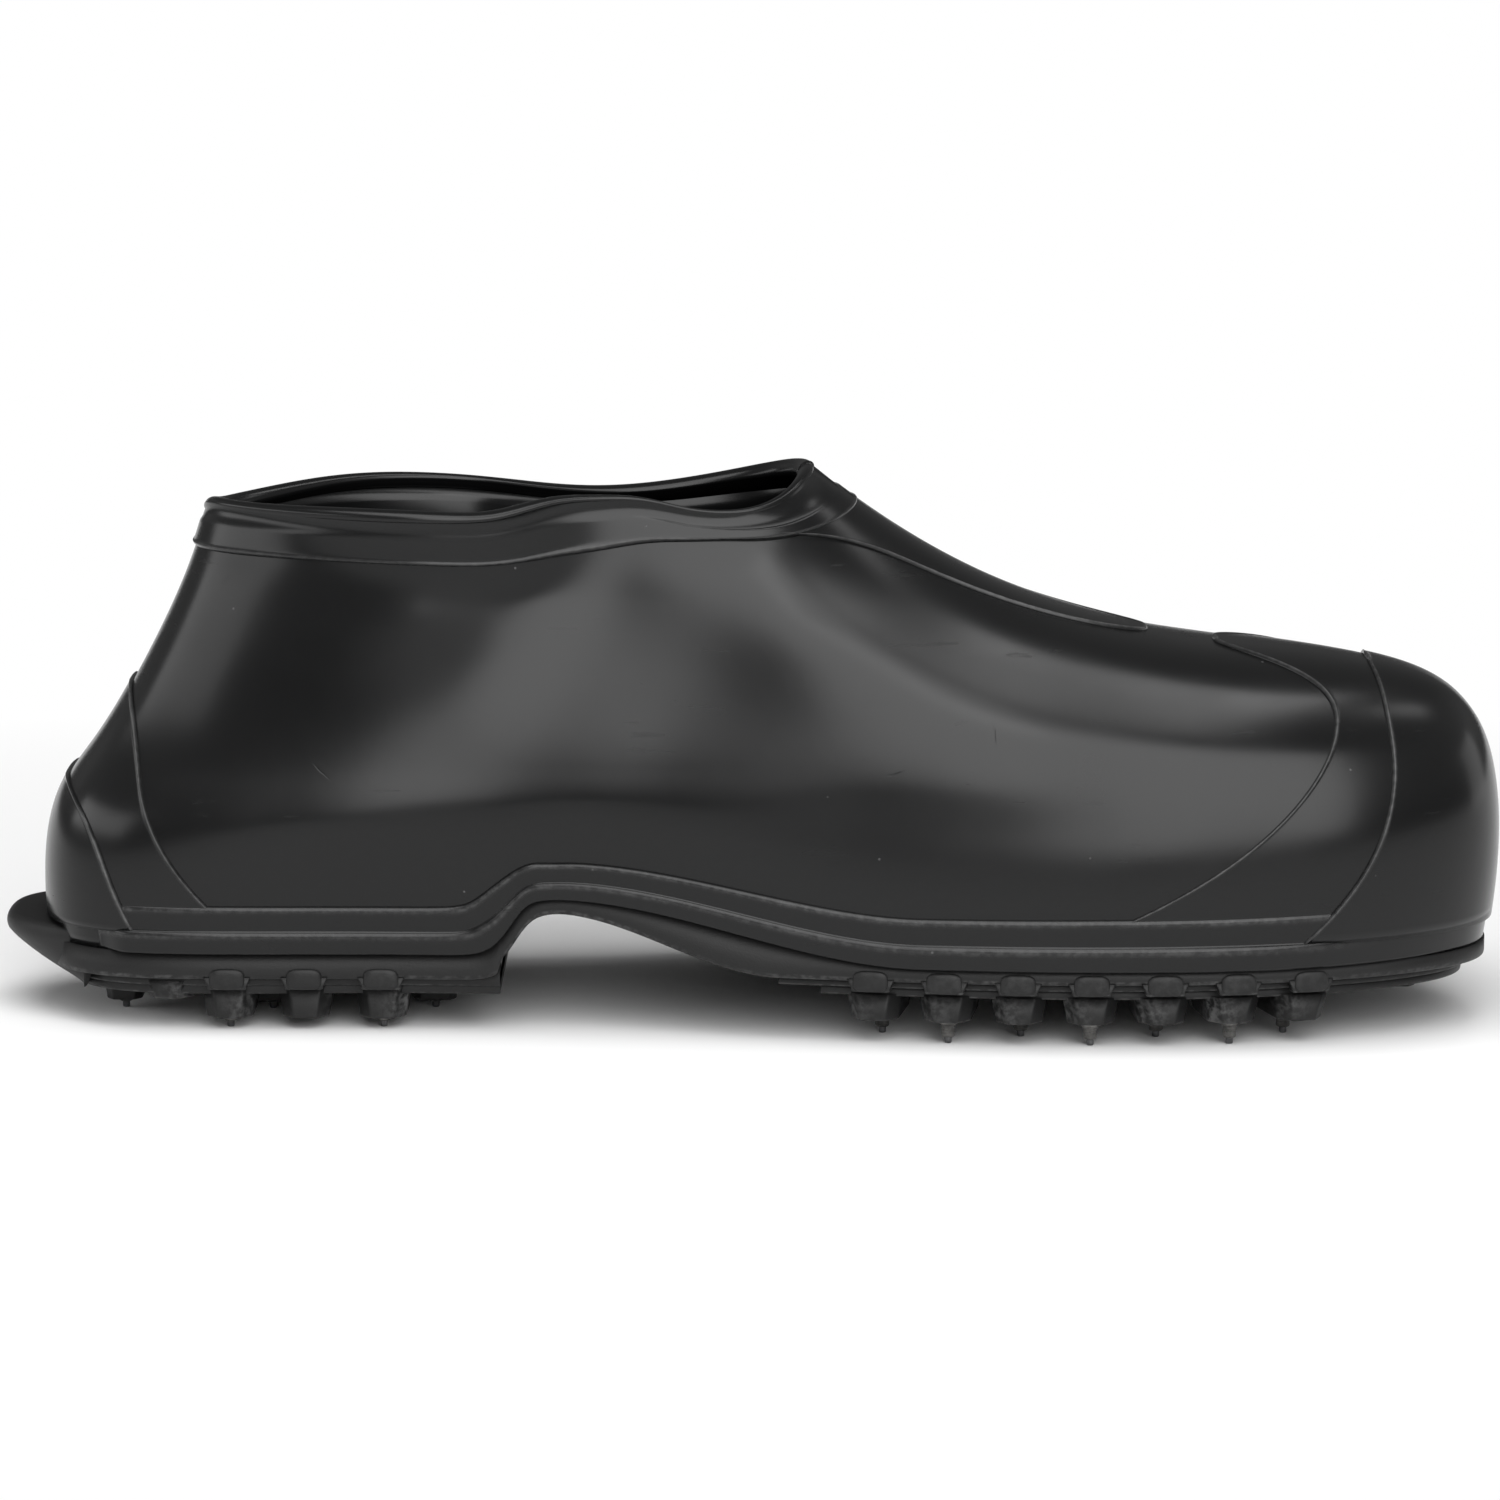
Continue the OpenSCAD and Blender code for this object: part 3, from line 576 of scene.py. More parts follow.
def make_piece(name, shells, material, wear_and_highlight=None):
    """Mesh object from shells of points and quads. Points that lie on one another are merged, the
    faces are turned outwards and shaded smooth, and the piece rides on the body and stands for its
    CAD node."""
    starts = np.cumsum([0] + [len(p) for p, _ in shells])
    points = np.concatenate([p for p, _ in shells])
    quads = np.concatenate([q + start for (_, q), start in zip(shells, starts)])
    mesh = bpy.data.meshes.new(name)
    mesh.from_pydata(points.tolist(), [], quads.tolist())
    # The point attribute holds the share of pale tint: painted highlight along edges and facets, on
    # the sole partly wear.
    if wear_and_highlight is not None:
        layer = mesh.attributes.new("wear_and_highlight", "FLOAT", "POINT")
        layer.data.foreach_set("value", np.concatenate(wear_and_highlight).astype(np.float32))
    bm = bmesh.new()
    bm.from_mesh(mesh)
    bmesh.ops.remove_doubles(bm, verts=bm.verts, dist=MERGE)
    bmesh.ops.recalc_face_normals(bm, faces=bm.faces)
    bm.to_mesh(mesh)
    bm.free()
    mesh.polygons.foreach_set("use_smooth", np.ones(len(mesh.polygons), bool))
    mesh.materials.append(material)
    piece = bpy.data.objects.new(f"{name}_form", mesh)
    bpy.context.scene.collection.objects.link(piece)
    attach(piece, BODY)
    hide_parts(name)
    return piece


def rounded_outline(corners, radius, steps=5):
    """Closed plan outline, each corner turned into a parabola that begins one radius from it."""
    corners = np.asarray(corners, float)
    before = np.roll(corners, 1, axis=0) - corners
    after = np.roll(corners, -1, axis=0) - corners
    before /= np.linalg.norm(before, axis=1, keepdims=True)
    after /= np.linalg.norm(after, axis=1, keepdims=True)
    t = np.linspace(0, 1, steps)[None, :, None]
    start = (corners + radius * before)[:, None, :]
    end = (corners + radius * after)[:, None, :]
    curve = (1 - t) ** 2 * start + 2 * t * (1 - t) * corners[:, None, :] + t**2 * end
    return curve.reshape(-1, 2)


# Rows of a moulded block from the middle of its lower face up to its side: share of the outline,
# shares of the corner radius by which it is drawn in and risen from the face, and pale tint of the
# rim, partly wear and partly painted highlight
BLOCK_ROWS = np.array([
    (0, 0, 0, 0),
    (0.6, 0, 0, 0),
    (1, 1.4, 0, 0),
    (1, 1, 0, 1),
    (1, 0.62, 0.08, 1),
    (1, 0.29, 0.29, 1),
    (1, 0.08, 0.62, 1),
    (1, 0, 1, 0),
    (1, 0, 1.5, 0),
])

# Rows of the side faces, which take the painted highlight of a lit facet
SIDE_ROWS = slice(5, 10)


def block(low_plan, high_plan, low, high, radius, place=(0, 0), turn=0.0, flip=1, facet_highlight=None):
    """Drafted block: the low outline runs straight to the high outline, and the lower rim is rounded
    by a quarter circle. Returns the shell and the share of pale tint of its points, which is 1 on
    the rounded rim, partly wear and partly painted highlight, and on the side faces takes the
    painted facet highlight given for its outline points."""
    outline, drawn, risen, rim = BLOCK_ROWS.T[:, :, None]
    middle = low_plan.mean(axis=0)
    out = low_plan - middle
    reach = np.linalg.norm(out, axis=1).mean()
    scale = outline * (1 - drawn * radius / reach)
    lower = middle + scale[..., None] * out[None]
    upper = np.stack([high_plan, np.broadcast_to(high_plan.mean(axis=0), high_plan.shape)])
    plan = np.concatenate([lower, upper])
    plan[..., 1] *= flip
    c, s = math.cos(turn), math.sin(turn)
    x = place[0] + c * plan[..., 0] - s * plan[..., 1]
    y = place[1] + s * plan[..., 0] + c * plan[..., 1]
    lower_z = np.broadcast_to(low + risen * radius, lower.shape[:2])
    z = np.concatenate([lower_z, np.full(upper.shape[:2], high)])
    wear_and_highlight = np.concatenate([np.broadcast_to(rim, lower.shape[:2]), np.zeros(upper.shape[:2])])
    # Painted highlight on the side faces of a lit facet.
    if facet_highlight is not None:
        wear_and_highlight[SIDE_ROWS] = np.maximum(wear_and_highlight[SIDE_ROWS], facet_highlight)
    return rounds(np.stack([x, y, z], -1)), wear_and_highlight.ravel()


def lug_plan(width, depth, cut, inset):
    """Plan of a lug, outer face on y = 0: a rectangle with its outer corners cut, less an inset."""
    a = width / 2 - inset
    cut_end = inset + LUG_CUT_SLOPE * cut
    back = depth - inset
    face = [(cut - a, inset), (a - cut, inset)]
    sides = [(a, cut_end), (a, back), (-a, back), (-a, cut_end)]
    return rounded_outline(face + sides, LUG_ROUND)


def revolve(profile, place, segments=40):
    """Shell of a profile of radius and height turned round a vertical axis."""
    profile = np.asarray(profile, float)
    a = round_angles(segments)
    x = place[0] + profile[:, 0, None] * np.cos(a)
    y = place[1] + profile[:, 0, None] * np.sin(a)
    z = np.broadcast_to(profile[:, 1, None], x.shape)
    return rounds(np.stack([x, y, z], -1))


# Finishes


def add_node(tree, kind, inputs=None, **settings):
    """Node with its settings and socket values."""
    node = tree.nodes.new(kind)
    for key, value in settings.items():
        setattr(node, key, value)
    for key, value in (inputs or {}).items():
        if isinstance(value, bpy.types.NodeSocket):
            tree.links.new(value, node.inputs[key])
        else:
            node.inputs[key].default_value = value
    return node


def maths(tree, operation, a, b=0.0, clamp=False):
    """Result of one Math node."""
    node = add_node(tree, "ShaderNodeMath", {0: a, 1: b}, operation=operation, use_clamp=clamp)
    return node.outputs[0]


def times(tree, a, b, clamp=False):
    """Product of two values."""
    return maths(tree, "MULTIPLY", a, b, clamp)


def plus(tree, a, b):
    """Sum of two values."""
    return maths(tree, "ADD", a, b)


def band(tree, value, low, high, to_low=0.0, to_high=1.0):
    """Value mapped from one range to another, held at the ends."""
    node = add_node(tree, "ShaderNodeMapRange", {0: value, 1: low, 2: high, 3: to_low, 4: to_high})
    return node.outputs[0]


def mix_colour(tree, factor, first, second):
    """Mix of two colours."""
    node = add_node(tree, "ShaderNodeMix", {0: factor, 6: first, 7: second}, data_type="RGBA")
    return node.outputs[2]


def own_place(tree):
    """Object coordinates."""
    return add_node(tree, "ShaderNodeTexCoord").outputs["Object"]


def stretched(tree, vector, scale):
    """Coordinates scaled along each axis."""
    return add_node(tree, "ShaderNodeMapping", {"Vector": vector, "Scale": scale}).outputs[0]


def noise(tree, vector, scale, detail=2.0, roughness=0.5):
    """Factor of one Noise Texture."""
    node = add_node(tree, "ShaderNodeTexNoise", {"Vector": vector, "Scale": scale, "Detail": detail,
                                                 "Roughness": roughness})
    return node.outputs["Fac"]


def cells(tree, vector, scale):
    """Voronoi Texture and the random colour of its cells, split into three values."""
    node = add_node(tree, "ShaderNodeTexVoronoi", {"Vector": vector, "Scale": scale})
    return node, add_node(tree, "ShaderNodeSeparateColor", {0: node.outputs["Color"]}).outputs


def new_group(name, inputs, outputs):
    """Shader node group with float or colour sockets."""
    tree = bpy.data.node_groups.new(name, "ShaderNodeTree")
    for label, kind, default in inputs:
        tree.interface.new_socket(label, in_out="INPUT", socket_type=kind).default_value = default
    for label, kind in outputs:
        tree.interface.new_socket(label, in_out="OUTPUT", socket_type=kind)
    return tree, tree.nodes.new("NodeGroupInput"), tree.nodes.new("NodeGroupOutput")


def rubbed_streaks(tree, where, patch):
    """Mask of streaks along the shoe: noise drawn out flat, kept where the patches are high."""
    flat = stretched(tree, where, (38, 38, 620))
    streak = band(tree, noise(tree, flat, 1, 3, 0.6), 0.62, 0.74)
    return times(tree, streak, band(tree, patch, 0.5, 0.62))


def dust_specks(tree, where):
    """Mask of specks: the middles of a few cells."""
    dots, chance = cells(tree, where, 190)
    speck = band(tree, dots.outputs["Distance"], 0.025, 0.06, 1, 0)
    return times(tree, speck, band(tree, chance[0], 0.92, 0.94))


def short_scratches(tree, where, patch):
    """Mask of scratches: in a few cells a thin wavy line through the middle, turned by an angle of
    the cell's own and ending before the cell does."""
    cuts, chance = cells(tree, where, 36)
    offset = add_node(tree, "ShaderNodeVectorMath", {0: where, 1: cuts.outputs["Position"]},
                      operation="SUBTRACT")
    angle = times(tree, chance[0], TAU)
    turned = add_node(tree, "ShaderNodeVectorRotate", {"Vector": offset.outputs[0], "Angle": angle},
                      rotation_type="Y_AXIS")
    side = add_node(tree, "ShaderNodeSeparateXYZ", {0: turned.outputs[0]})
    wavy = plus(tree, side.outputs["Z"], band(tree, patch, 0.3, 0.7, -0.6 * MM, 0.6 * MM))
    line = band(tree, maths(tree, "ABSOLUTE", wavy), 0.04 * MM, 0.16 * MM, 1, 0)
    reach = band(tree, maths(tree, "ABSOLUTE", side.outputs["X"]), 0.8 * MM, 2.4 * MM, 1, 0)
    return times(tree, times(tree, line, reach), band(tree, chance[1], 0.7, 0.74))


def rubber_group():
    """Moulded rubber: slow clouds in the gloss, fine grain, rubbed streaks, short scratches and
    specks of dust. The height adds the grain, the orange peel and the specks, less the scratches
    and the streaks."""
    tree, given, made = new_group(
        "Moulded Rubber",
        [("Colour", "NodeSocketColor", (0.01, 0.01, 0.01, 1)),
         ("Dust Colour", "NodeSocketColor", (0.1, 0.1, 0.1, 1)),
         ("Roughness", "NodeSocketFloat", 0.3),
         ("Grain", "NodeSocketFloat", 0.3),
         ("Marks", "NodeSocketFloat", 1.0)],
        [("Colour", "NodeSocketColor"),
         ("Roughness", "NodeSocketFloat"),
         ("Height", "NodeSocketFloat")])
    where = own_place(tree)
    marks = given.outputs["Marks"]
    cloud = noise(tree, where, scale=26, detail=4, roughness=0.55)
    patch = noise(tree, where, scale=90, detail=3, roughness=0.6)
    grain = noise(tree, where, scale=2400)
    peel = noise(tree, where, scale=330)
    streak = times(tree, rubbed_streaks(tree, where, patch), marks)
    dust = times(tree, dust_specks(tree, where), marks)
    nick = times(tree, short_scratches(tree, where, patch), marks)
    speckled = times(tree, dust, 0.6, True)
    tint = mix_colour(tree, speckled, given.outputs["Colour"], given.outputs["Dust Colour"])
    rough = plus(tree, given.outputs["Roughness"], band(tree, cloud, 0.3, 0.7, -0.035, 0.035))
    rough = plus(tree, rough, times(tree, streak, 0.1))
    rough = plus(tree, rough, times(tree, dust, 0.3))
    height = times(tree, grain, given.outputs["Grain"])
    height = plus(tree, height, times(tree, peel, 0.5))
    height = plus(tree, height, times(tree, dust, 1.6))
    height = maths(tree, "SUBTRACT", height, times(tree, nick, 2.4))
    height = maths(tree, "SUBTRACT", height, times(tree, streak, 0.25))
    tree.links.new(tint, made.inputs["Colour"])
    tree.links.new(rough, made.inputs["Roughness"])
    tree.links.new(height, made.inputs["Height"])
    return tree


def rgba(rgb):
    """Colour property as a socket value."""
    return (*rgb, 1.0)


def new_material(name):
    """Node material, its tree and its Principled BSDF."""
    made = bpy.data.materials.new(name)
    made.use_nodes = True
    return made, made.node_tree, made.node_tree.nodes["Principled BSDF"]


def dress(tree, shader, tint, rough, height, depth):
    """Feeds a colour, a roughness and a height as a bump of a depth into the Principled BSDF."""
    bump = add_node(tree, "ShaderNodeBump", {"Height": height, "Distance": depth})
    tree.links.new(tint, shader.inputs["Base Color"])
    tree.links.new(rough, shader.inputs["Roughness"])
    tree.links.new(bump.outputs[0], shader.inputs["Normal"])


def wear_and_highlight_tint(tree, tint, pale, strength, least):
    """Colour with pale rims where the piece's point attribute asks for them, broken up by fine and
    slow patches: painted highlights along ply edges, foxing steps and lug facets, which on the rims
    of the sole are partly wear. Least is the share that the gaps between the patches keep."""
    where = own_place(tree)
    rim = add_node(tree, "ShaderNodeAttribute", attribute_name="wear_and_highlight").outputs["Fac"]
    fine = band(tree, noise(tree, where, 700, 3, 0.6), 0.42, 0.62, least, 1)
    slow = band(tree, noise(tree, where, 30, 2), 0.35, 0.62, least, 1)
    # Mask of the pale tint: painted highlight, on the sole rims partly wear.
    wear_and_highlight_rims = times(tree, times(tree, rim, fine), slow)
    return mix_colour(tree, times(tree, wear_and_highlight_rims, strength), tint, pale)


def rubber_finish(name, rgb, roughness, grain, marks, depth, shine, wear_and_highlight_rims=None):
    """Rubber material: the rubber group's colour, gloss and bump, and where asked pale rims in the
    dust colour, painted highlights along edges that on the sole are partly wear. The last argument
    holds the strength of the rims and the share that gaps keep."""
    if name in bpy.data.materials:
        return bpy.data.materials[name]
    # The dust colour tints the specks and also the pale rims of painted highlight.
    dust = rgba(sizes("overshoe_finish").dust)
    made, tree, shader = new_material(name)
    group = bpy.data.node_groups.get("Moulded Rubber") or rubber_group()
    surface = add_node(tree, "ShaderNodeGroup", node_tree=group)
    surface.inputs["Colour"].default_value = rgba(rgb)
    surface.inputs["Dust Colour"].default_value = dust
    surface.inputs["Roughness"].default_value = roughness
    surface.inputs["Grain"].default_value = grain
    surface.inputs["Marks"].default_value = marks
    tint = surface.outputs["Colour"]
    # Pale rims in the dust colour: painted highlights, on the sole partly wear.
    if wear_and_highlight_rims:
        tint = wear_and_highlight_tint(tree, tint, dust, *wear_and_highlight_rims)
    dress(tree, shader, tint, surface.outputs["Roughness"], surface.outputs["Height"], depth)
    shader.inputs["Specular IOR Level"].default_value = shine
    return made


def upper_finish():
    """Satin moulded rubber of the upper."""
    f = sizes("overshoe_finish")
    return rubber_finish("upper_satin", f.upper, f.gloss, marks=1.0, **SATIN)


def foxing_finish():
    """Satin moulded rubber of the foxing, with painted highlights as pale lines below its steps."""
    f = sizes("overshoe_finish")
    return rubber_finish("foxing_satin", f.upper, f.gloss, marks=1.0, wear_and_highlight_rims=(0.35, 0.35), **SATIN)


def ply_finish():
    """Satin moulded rubber of the plies and the collar band, with painted highlights as pale lines
    along their edges.
    """
    f = sizes("overshoe_finish")
    return rubber_finish("ply_satin", f.ply, f.gloss, marks=0.8, wear_and_highlight_rims=(0.5, 0.5), **SATIN)


def sole_finish():
    """Matt rubber of the sole with pale rims, partly wear and partly painted highlight, and painted
    highlights on lit lug facets.
    """
    f = sizes("overshoe_finish")
    return rubber_finish("sole_matt", f.sole, f.sole_gloss, grain=1.6, marks=0.7,
                         depth=0.03 * MM, shine=0.3, wear_and_highlight_rims=(0.35, 0.0))


def lining_finish():
    """Matt bare rubber inside."""
    f = sizes("overshoe_finish")
    return rubber_finish("lining_matt", f.lining, roughness=0.8, grain=1.0, marks=0.4,
                         depth=0.02 * MM, shine=0.1)


def metal_finish(name, rgb, roughness, scratch):
    """Metal material: turning marks in the gloss and the bump, and faint stains in the colour."""
    if name in bpy.data.materials:
        return bpy.data.materials[name]
    made, tree, shader = new_material(name)
    where = own_place(tree)
    turned = noise(tree, stretched(tree, where, (60, 60, 5200)), 1)
    stain = noise(tree, where, 650, 4, 0.6)
    dark = tuple(0.45 * c for c in rgb)
    tint = mix_colour(tree, band(tree, stain, 0.35, 0.65), rgba(dark), rgba(rgb))
    rough = plus(tree, band(tree, turned, 0.3, 0.7, -scratch, scratch), roughness)
    dress(tree, shader, tint, rough, turned, 0.01 * MM)
    shader.inputs["Metallic"].default_value = 1.0
    return made


# Pieces of the upper


class OVERSHOE_OT_upper(bpy.types.Operator):
    """Build the moulded wall of the upper, outer face and inner face joined at seam and rim"""

    bl_idname = "overshoe.upper"
    bl_label = "Upper"

    def execute(self, context):
        u = sizes("overshoe_upper")
        phi = round_angles(540)[:, None]
        outer_v = np.linspace(0, UPPER_TOP, 110)[None, :]
        inner_v = np.linspace(UPPER_TOP, 0, 60)[None, :]
        outer = offset_skin(phi, outer_v, 0)
        inner = offset_skin(phi, inner_v, -u.wall)
        wall = ring(np.concatenate([outer, inner], axis=1))
        make_piece("upper", [wall], upper_finish())
        return {"FINISHED"}


def rim_bead(phi):
    """Rolled bead on the rim: an arc of an ellipse round the middle of the wall, whose axes are the
    normal of the skin and the rise of the wall."""
    u = sizes("overshoe_upper")
    p = sizes("overshoe_plies")
    centre, normal, _, _ = skin_frame(phi, BEAD_AT)
    centre = centre - u.wall / 2 * normal
    rise = skin(phi, 1.0) - skin(phi, 0.98)
    rise /= np.linalg.norm(rise, axis=-1, keepdims=True)
    b = np.radians(np.linspace(-38, 218, 22))[None, :, None]
    return (centre[:, None, :] + p.bead_w / 2 * np.cos(b) * normal[:, None, :]
            + p.bead_h / 2 * np.sin(b) * rise[:, None, :])


class OVERSHOE_OT_collar(bpy.types.Operator):
    """Build the collar band: a thin band with a soft lower edge, a fine groove and a rolled bead"""

    bl_idname = "overshoe.collar"
    bl_label = "Collar band"

    def execute(self, context):
        u = sizes("overshoe_upper")
        p = sizes("overshoe_plies")
        phi = round_angles(720)
        turn = np.degrees(np.abs(np.where(phi > math.pi, phi - TAU, phi)))
        low = BAND_LOW_FRONT + (BAND_LOW - BAND_LOW_FRONT) * smooth(turn, 50, 45)
        groove = UPPER_TOP - 0.002
        seat = UPPER_TOP + 0.001
        rib_at = 0.1
        q = np.concatenate([np.linspace(0, 0.2, 11), np.linspace(0.26, 1, 10)])
        rows = low[:, None] + (groove - low[:, None]) * q
        swell = quarter(q / 0.12) * (1 - 0.45 * smooth(q, 0.82, 0.18))
        swell = swell + p.rib / p.band_t * crest(q, rib_at, 0.055)
        skirt = offset_skin(phi[:, None], rows, p.seat + p.band_t * swell[None, :])
        back = np.stack([offset_skin(phi, seat, -u.wall), offset_skin(phi, seat, p.seat),
                         offset_skin(phi, (low + seat) / 2, p.seat)], axis=1)
        section = np.concatenate([skirt, rim_bead(phi), back], axis=1)
        wear_and_highlight = np.zeros(section.shape[:2])
        # Painted highlight: a pale line over the rib near the lower edge of the band.
        wear_and_highlight[:, : len(q)] = 0.5 * crest(q, rib_at, 0.07)
        make_piece("collar_band", [ring(section)], ply_finish(), [wear_and_highlight.ravel()])
        return {"FINISHED"}


def ply_shell(centre, rows, angles, across, seat):
    """Ply laid on the upper: across it the angle runs from one edge to the other, up it the share
    runs along the rows. Its height is a quarter circle of the distance to the edge, then flat, with
    a fine rib along the edge. Returns the shell and the share of pale tint, a bell over the rib that
    paints a highlight along the edge."""
    p = sizes("overshoe_plies")
    s = np.sin(np.linspace(-1, 1, across) * math.pi / 2)[:, None]
    v = rows[None, :]
    point, normal, around, up = skin_frame(centre + s * angles[None, :], v)
    to_side = (1 - np.abs(s)) * angles[None, :] * around
    to_top = np.abs(rows[-1] - v) * up
    away = to_side * to_top / np.sqrt(to_side**2 + to_top**2 + 1e-12)
    height = p.proud * quarter(away / p.bevel) + p.rib * crest(away, p.rib_in, p.rib_r)
    outer = point + (seat + height)[..., None] * normal
    inner = point + seat * 0.5 * normal
    # Painted highlight: a pale line over the rib along the edge.
    pale = crest(away, p.rib_in, 1.3 * p.rib_r)
    wear_and_highlight = np.concatenate([pale, np.zeros_like(pale)], axis=1).ravel()
    return sweep(np.concatenate([outer, inner[:, ::-1]], axis=1)), wear_and_highlight


def cap_edge(v, top, angle, power, flare, fall):
    """Half angle of a toe or heel ply at share v: a rounded edge plus a flare that fades upwards."""
    shares = np.maximum(1 - (v / top) ** power, 0)
    return np.radians(angle * np.sqrt(shares) + flare * np.exp(-v / fall))


def tongue_edge(v, tip, angle, flare, fall):
    """Half angle of the tongue at share v: a rounded tip plus a flare that dies out downwards."""
    shares = np.maximum(1 - ((1 - v) / (1 - tip)) ** 3, 0)
    return np.radians(angle * np.sqrt(shares) + flare * np.exp((v - TONGUE_TOP) / fall))


class OVERSHOE_OT_plies(bpy.types.Operator):
    """Build the plies: instep tongue, toe cap, toe guard, heel counter and heel guard"""

    bl_idname = "overshoe.plies"
    bl_label = "Plies"

    def execute(self, context):
        p = sizes("overshoe_plies")
        second = p.proud + 2 * p.seat
        low = FOXING_TOP * 0.4
        just_below = 0.9995
        # Middle angle, values of the edge curve, seat, points across and rows
        caps = {
            "toe_cap": (0.0, (0.706, 41, 2, 30, 0.11), p.seat, 150, 110),
            "toe_guard": (0.0, (0.54, 31, 4, 16, 0.09), second, 130, 110),
            "heel_counter": (math.pi, (0.55, 30, 2, 16, 0.1), p.seat, 110, 90),
            "heel_guard": (math.pi, (0.25, 26, 2, 6, 0.05), second, 110, 70),
        }
        for name, (centre, edge, seat, across, count) in caps.items():
            top = edge[0] * just_below
            rows = low + (top - low) * closing(count)
            shell, wear_and_highlight = ply_shell(centre, rows, cap_edge(rows, *edge), across, seat)
            make_piece(name, [shell], ply_finish(), [wear_and_highlight])
        tip = 0.764
        rows = TONGUE_TOP - (TONGUE_TOP - tip) * closing(110)
        shell, wear_and_highlight = ply_shell(0.0, rows, tongue_edge(rows, tip, 20.5, 18, 0.017), 120, p.seat)
        make_piece("instep_tongue", [shell], ply_finish(), [wear_and_highlight])
        return {"FINISHED"}


class OVERSHOE_OT_foxing(bpy.types.Operator):
    """Build the foxing: a strip round the seam with two rounded steps that run out at the toe"""

    bl_idname = "overshoe.foxing"
    bl_label = "Foxing"

    def execute(self, context):
        p = sizes("overshoe_plies")
        end = 157
        phi = np.radians(np.linspace(-end, end, 620))[:, None]
        v = np.concatenate([
            np.linspace(0.0005, FOXING_STEP - 0.006, 8),
            np.linspace(FOXING_STEP - 0.005, FOXING_STEP, 10),
            np.linspace(FOXING_STEP + 0.001, FOXING_TOP - 0.007, 9),
            np.linspace(FOXING_TOP - 0.006, FOXING_TOP, 12),
        ])[None, :]
        x = skin(phi, np.zeros_like(phi))[..., 0]
        near = 7 * MM
        slope = (seam_z(x + near) - seam_z(x - near)) / (2 * near)
        steep_v = v * np.sqrt(1 + slope**2)
        turn = np.degrees(np.abs(phi))
        upper_step = smooth(turn, 17, 20)
        lower_step = smooth(turn, 33, 16)
        upper_rise = 0.5 * quarter((FOXING_TOP - v) / 0.0055) * (0.15 + 0.85 * upper_step)
        lower_rise = 0.5 * quarter((FOXING_STEP - v) / 0.005) * (0.1 + 0.9 * lower_step)
        height = p.foxing_t * smooth(end - turn, 0, 6) * (upper_rise + lower_rise)
        outer = offset_skin(phi, steep_v, p.seat + height)
        inner = offset_skin(phi, steep_v[:, ::-1], p.seat * 0.5)
        # Painted highlights: pale lines just below the edge of each step.
        pale = np.maximum(upper_step * crest(v, FOXING_TOP - FOXING_PALE, 0.0025),
                          lower_step * crest(v, FOXING_STEP - FOXING_PALE, 0.0025))
        wear_and_highlight = np.concatenate([pale, np.zeros_like(pale)], axis=1).ravel()
        shell = sweep(np.concatenate([outer, inner], axis=1))
        make_piece("foxing", [shell], foxing_finish(), [wear_and_highlight])
        return {"FINISHED"}


def slab(xs, inset, top, low, radius):
    """Slab between two side outlines: at each station x a rectangle with rounded lower corners,
    whose sides follow the outsole outline drawn in by the inset. Returns a shell and the pale tint
    of its lower rims, partly wear and partly painted highlight."""
    half = edge_half(xs, inset)[:, None]
    low = low[:, None]
    flat = np.clip(half - radius, 0, None)
    under = np.linspace(-1, 1, 25)[None, :]
    over = np.linspace(1, -1, 13)[None, :]
    b = np.linspace(0, math.pi / 2, 6)[None, 1:]
    bend_y = flat + np.minimum(radius, half) * np.sin(b)
    bend_z = low + radius * (1 - np.cos(b))
    y = np.concatenate([flat * under, bend_y, half * over, -bend_y[:, ::-1]], axis=1)
    z = np.concatenate([low + 0 * under, bend_z, top[:, None] + 0 * over, bend_z[:, ::-1]], axis=1)
    x = np.broadcast_to(xs[:, None], y.shape)
    # Pale tint on the lower rims: partly wear, partly painted highlight.
    bend_wear_and_highlight = (0, 1, 1, 1, 0)
    wear_and_highlight = np.concatenate([np.zeros(under.size), bend_wear_and_highlight, np.zeros(over.size), bend_wear_and_highlight])
    return sweep(np.stack([x, y + swing(x), z], -1)), np.tile(wear_and_highlight, len(xs))


class OVERSHOE_OT_insole(bpy.types.Operator):
    """Build the insole ply that lies on the outsole inside the upper"""

    bl_idname = "overshoe.insole"
    bl_label = "Insole"

    def execute(self, context):
        u = sizes("overshoe_upper")
        p = sizes("overshoe_plies")
        inset = u.wall + 0.5 * MM
        xs = stations(*edge_ends(inset), 260)
        shell, _ = slab(xs, inset, seam_z(xs) + p.insole_t, seam_z(xs) + 0.1 * MM, 0.4 * MM)
        make_piece("insole", [shell], lining_finish())
        return {"FINISHED"}


# Sole


def lug_stations():
    """Places along the sole of the forefoot and heel edge lugs and of the forefoot's bars."""
    s = sizes("overshoe_sole")
    fore = along(FORE_FIRST) + s.fore_pitch * np.arange(7)
    heel = along(HEEL_FIRST) + s.heel_pitch * np.arange(3)
    bars = along(FORE_FIRST) + s.fore_pitch * (np.arange(6) + 0.5)
    return fore, heel, bars


def middle_place(x, offset=0.0):
    """Place beside the centre line."""
    return x, float(swing(x)) + offset


def rear_places():
    """Places of the two lugs at the rear of the heel."""
    return [middle_place(along(REAR_LUGS), side * REAR_OFFSET) for side in (-1, 1)]


def heel_places():
    """Places of the lugs in the middle of the heel, to either side of the centre line in turn."""
    offsets = (-HEEL_OFFSET, HEEL_OFFSET, -HEEL_OFFSET)
    return [middle_place(along(percent), offset) for percent, offset in zip(HEEL_MIDDLE, offsets)]


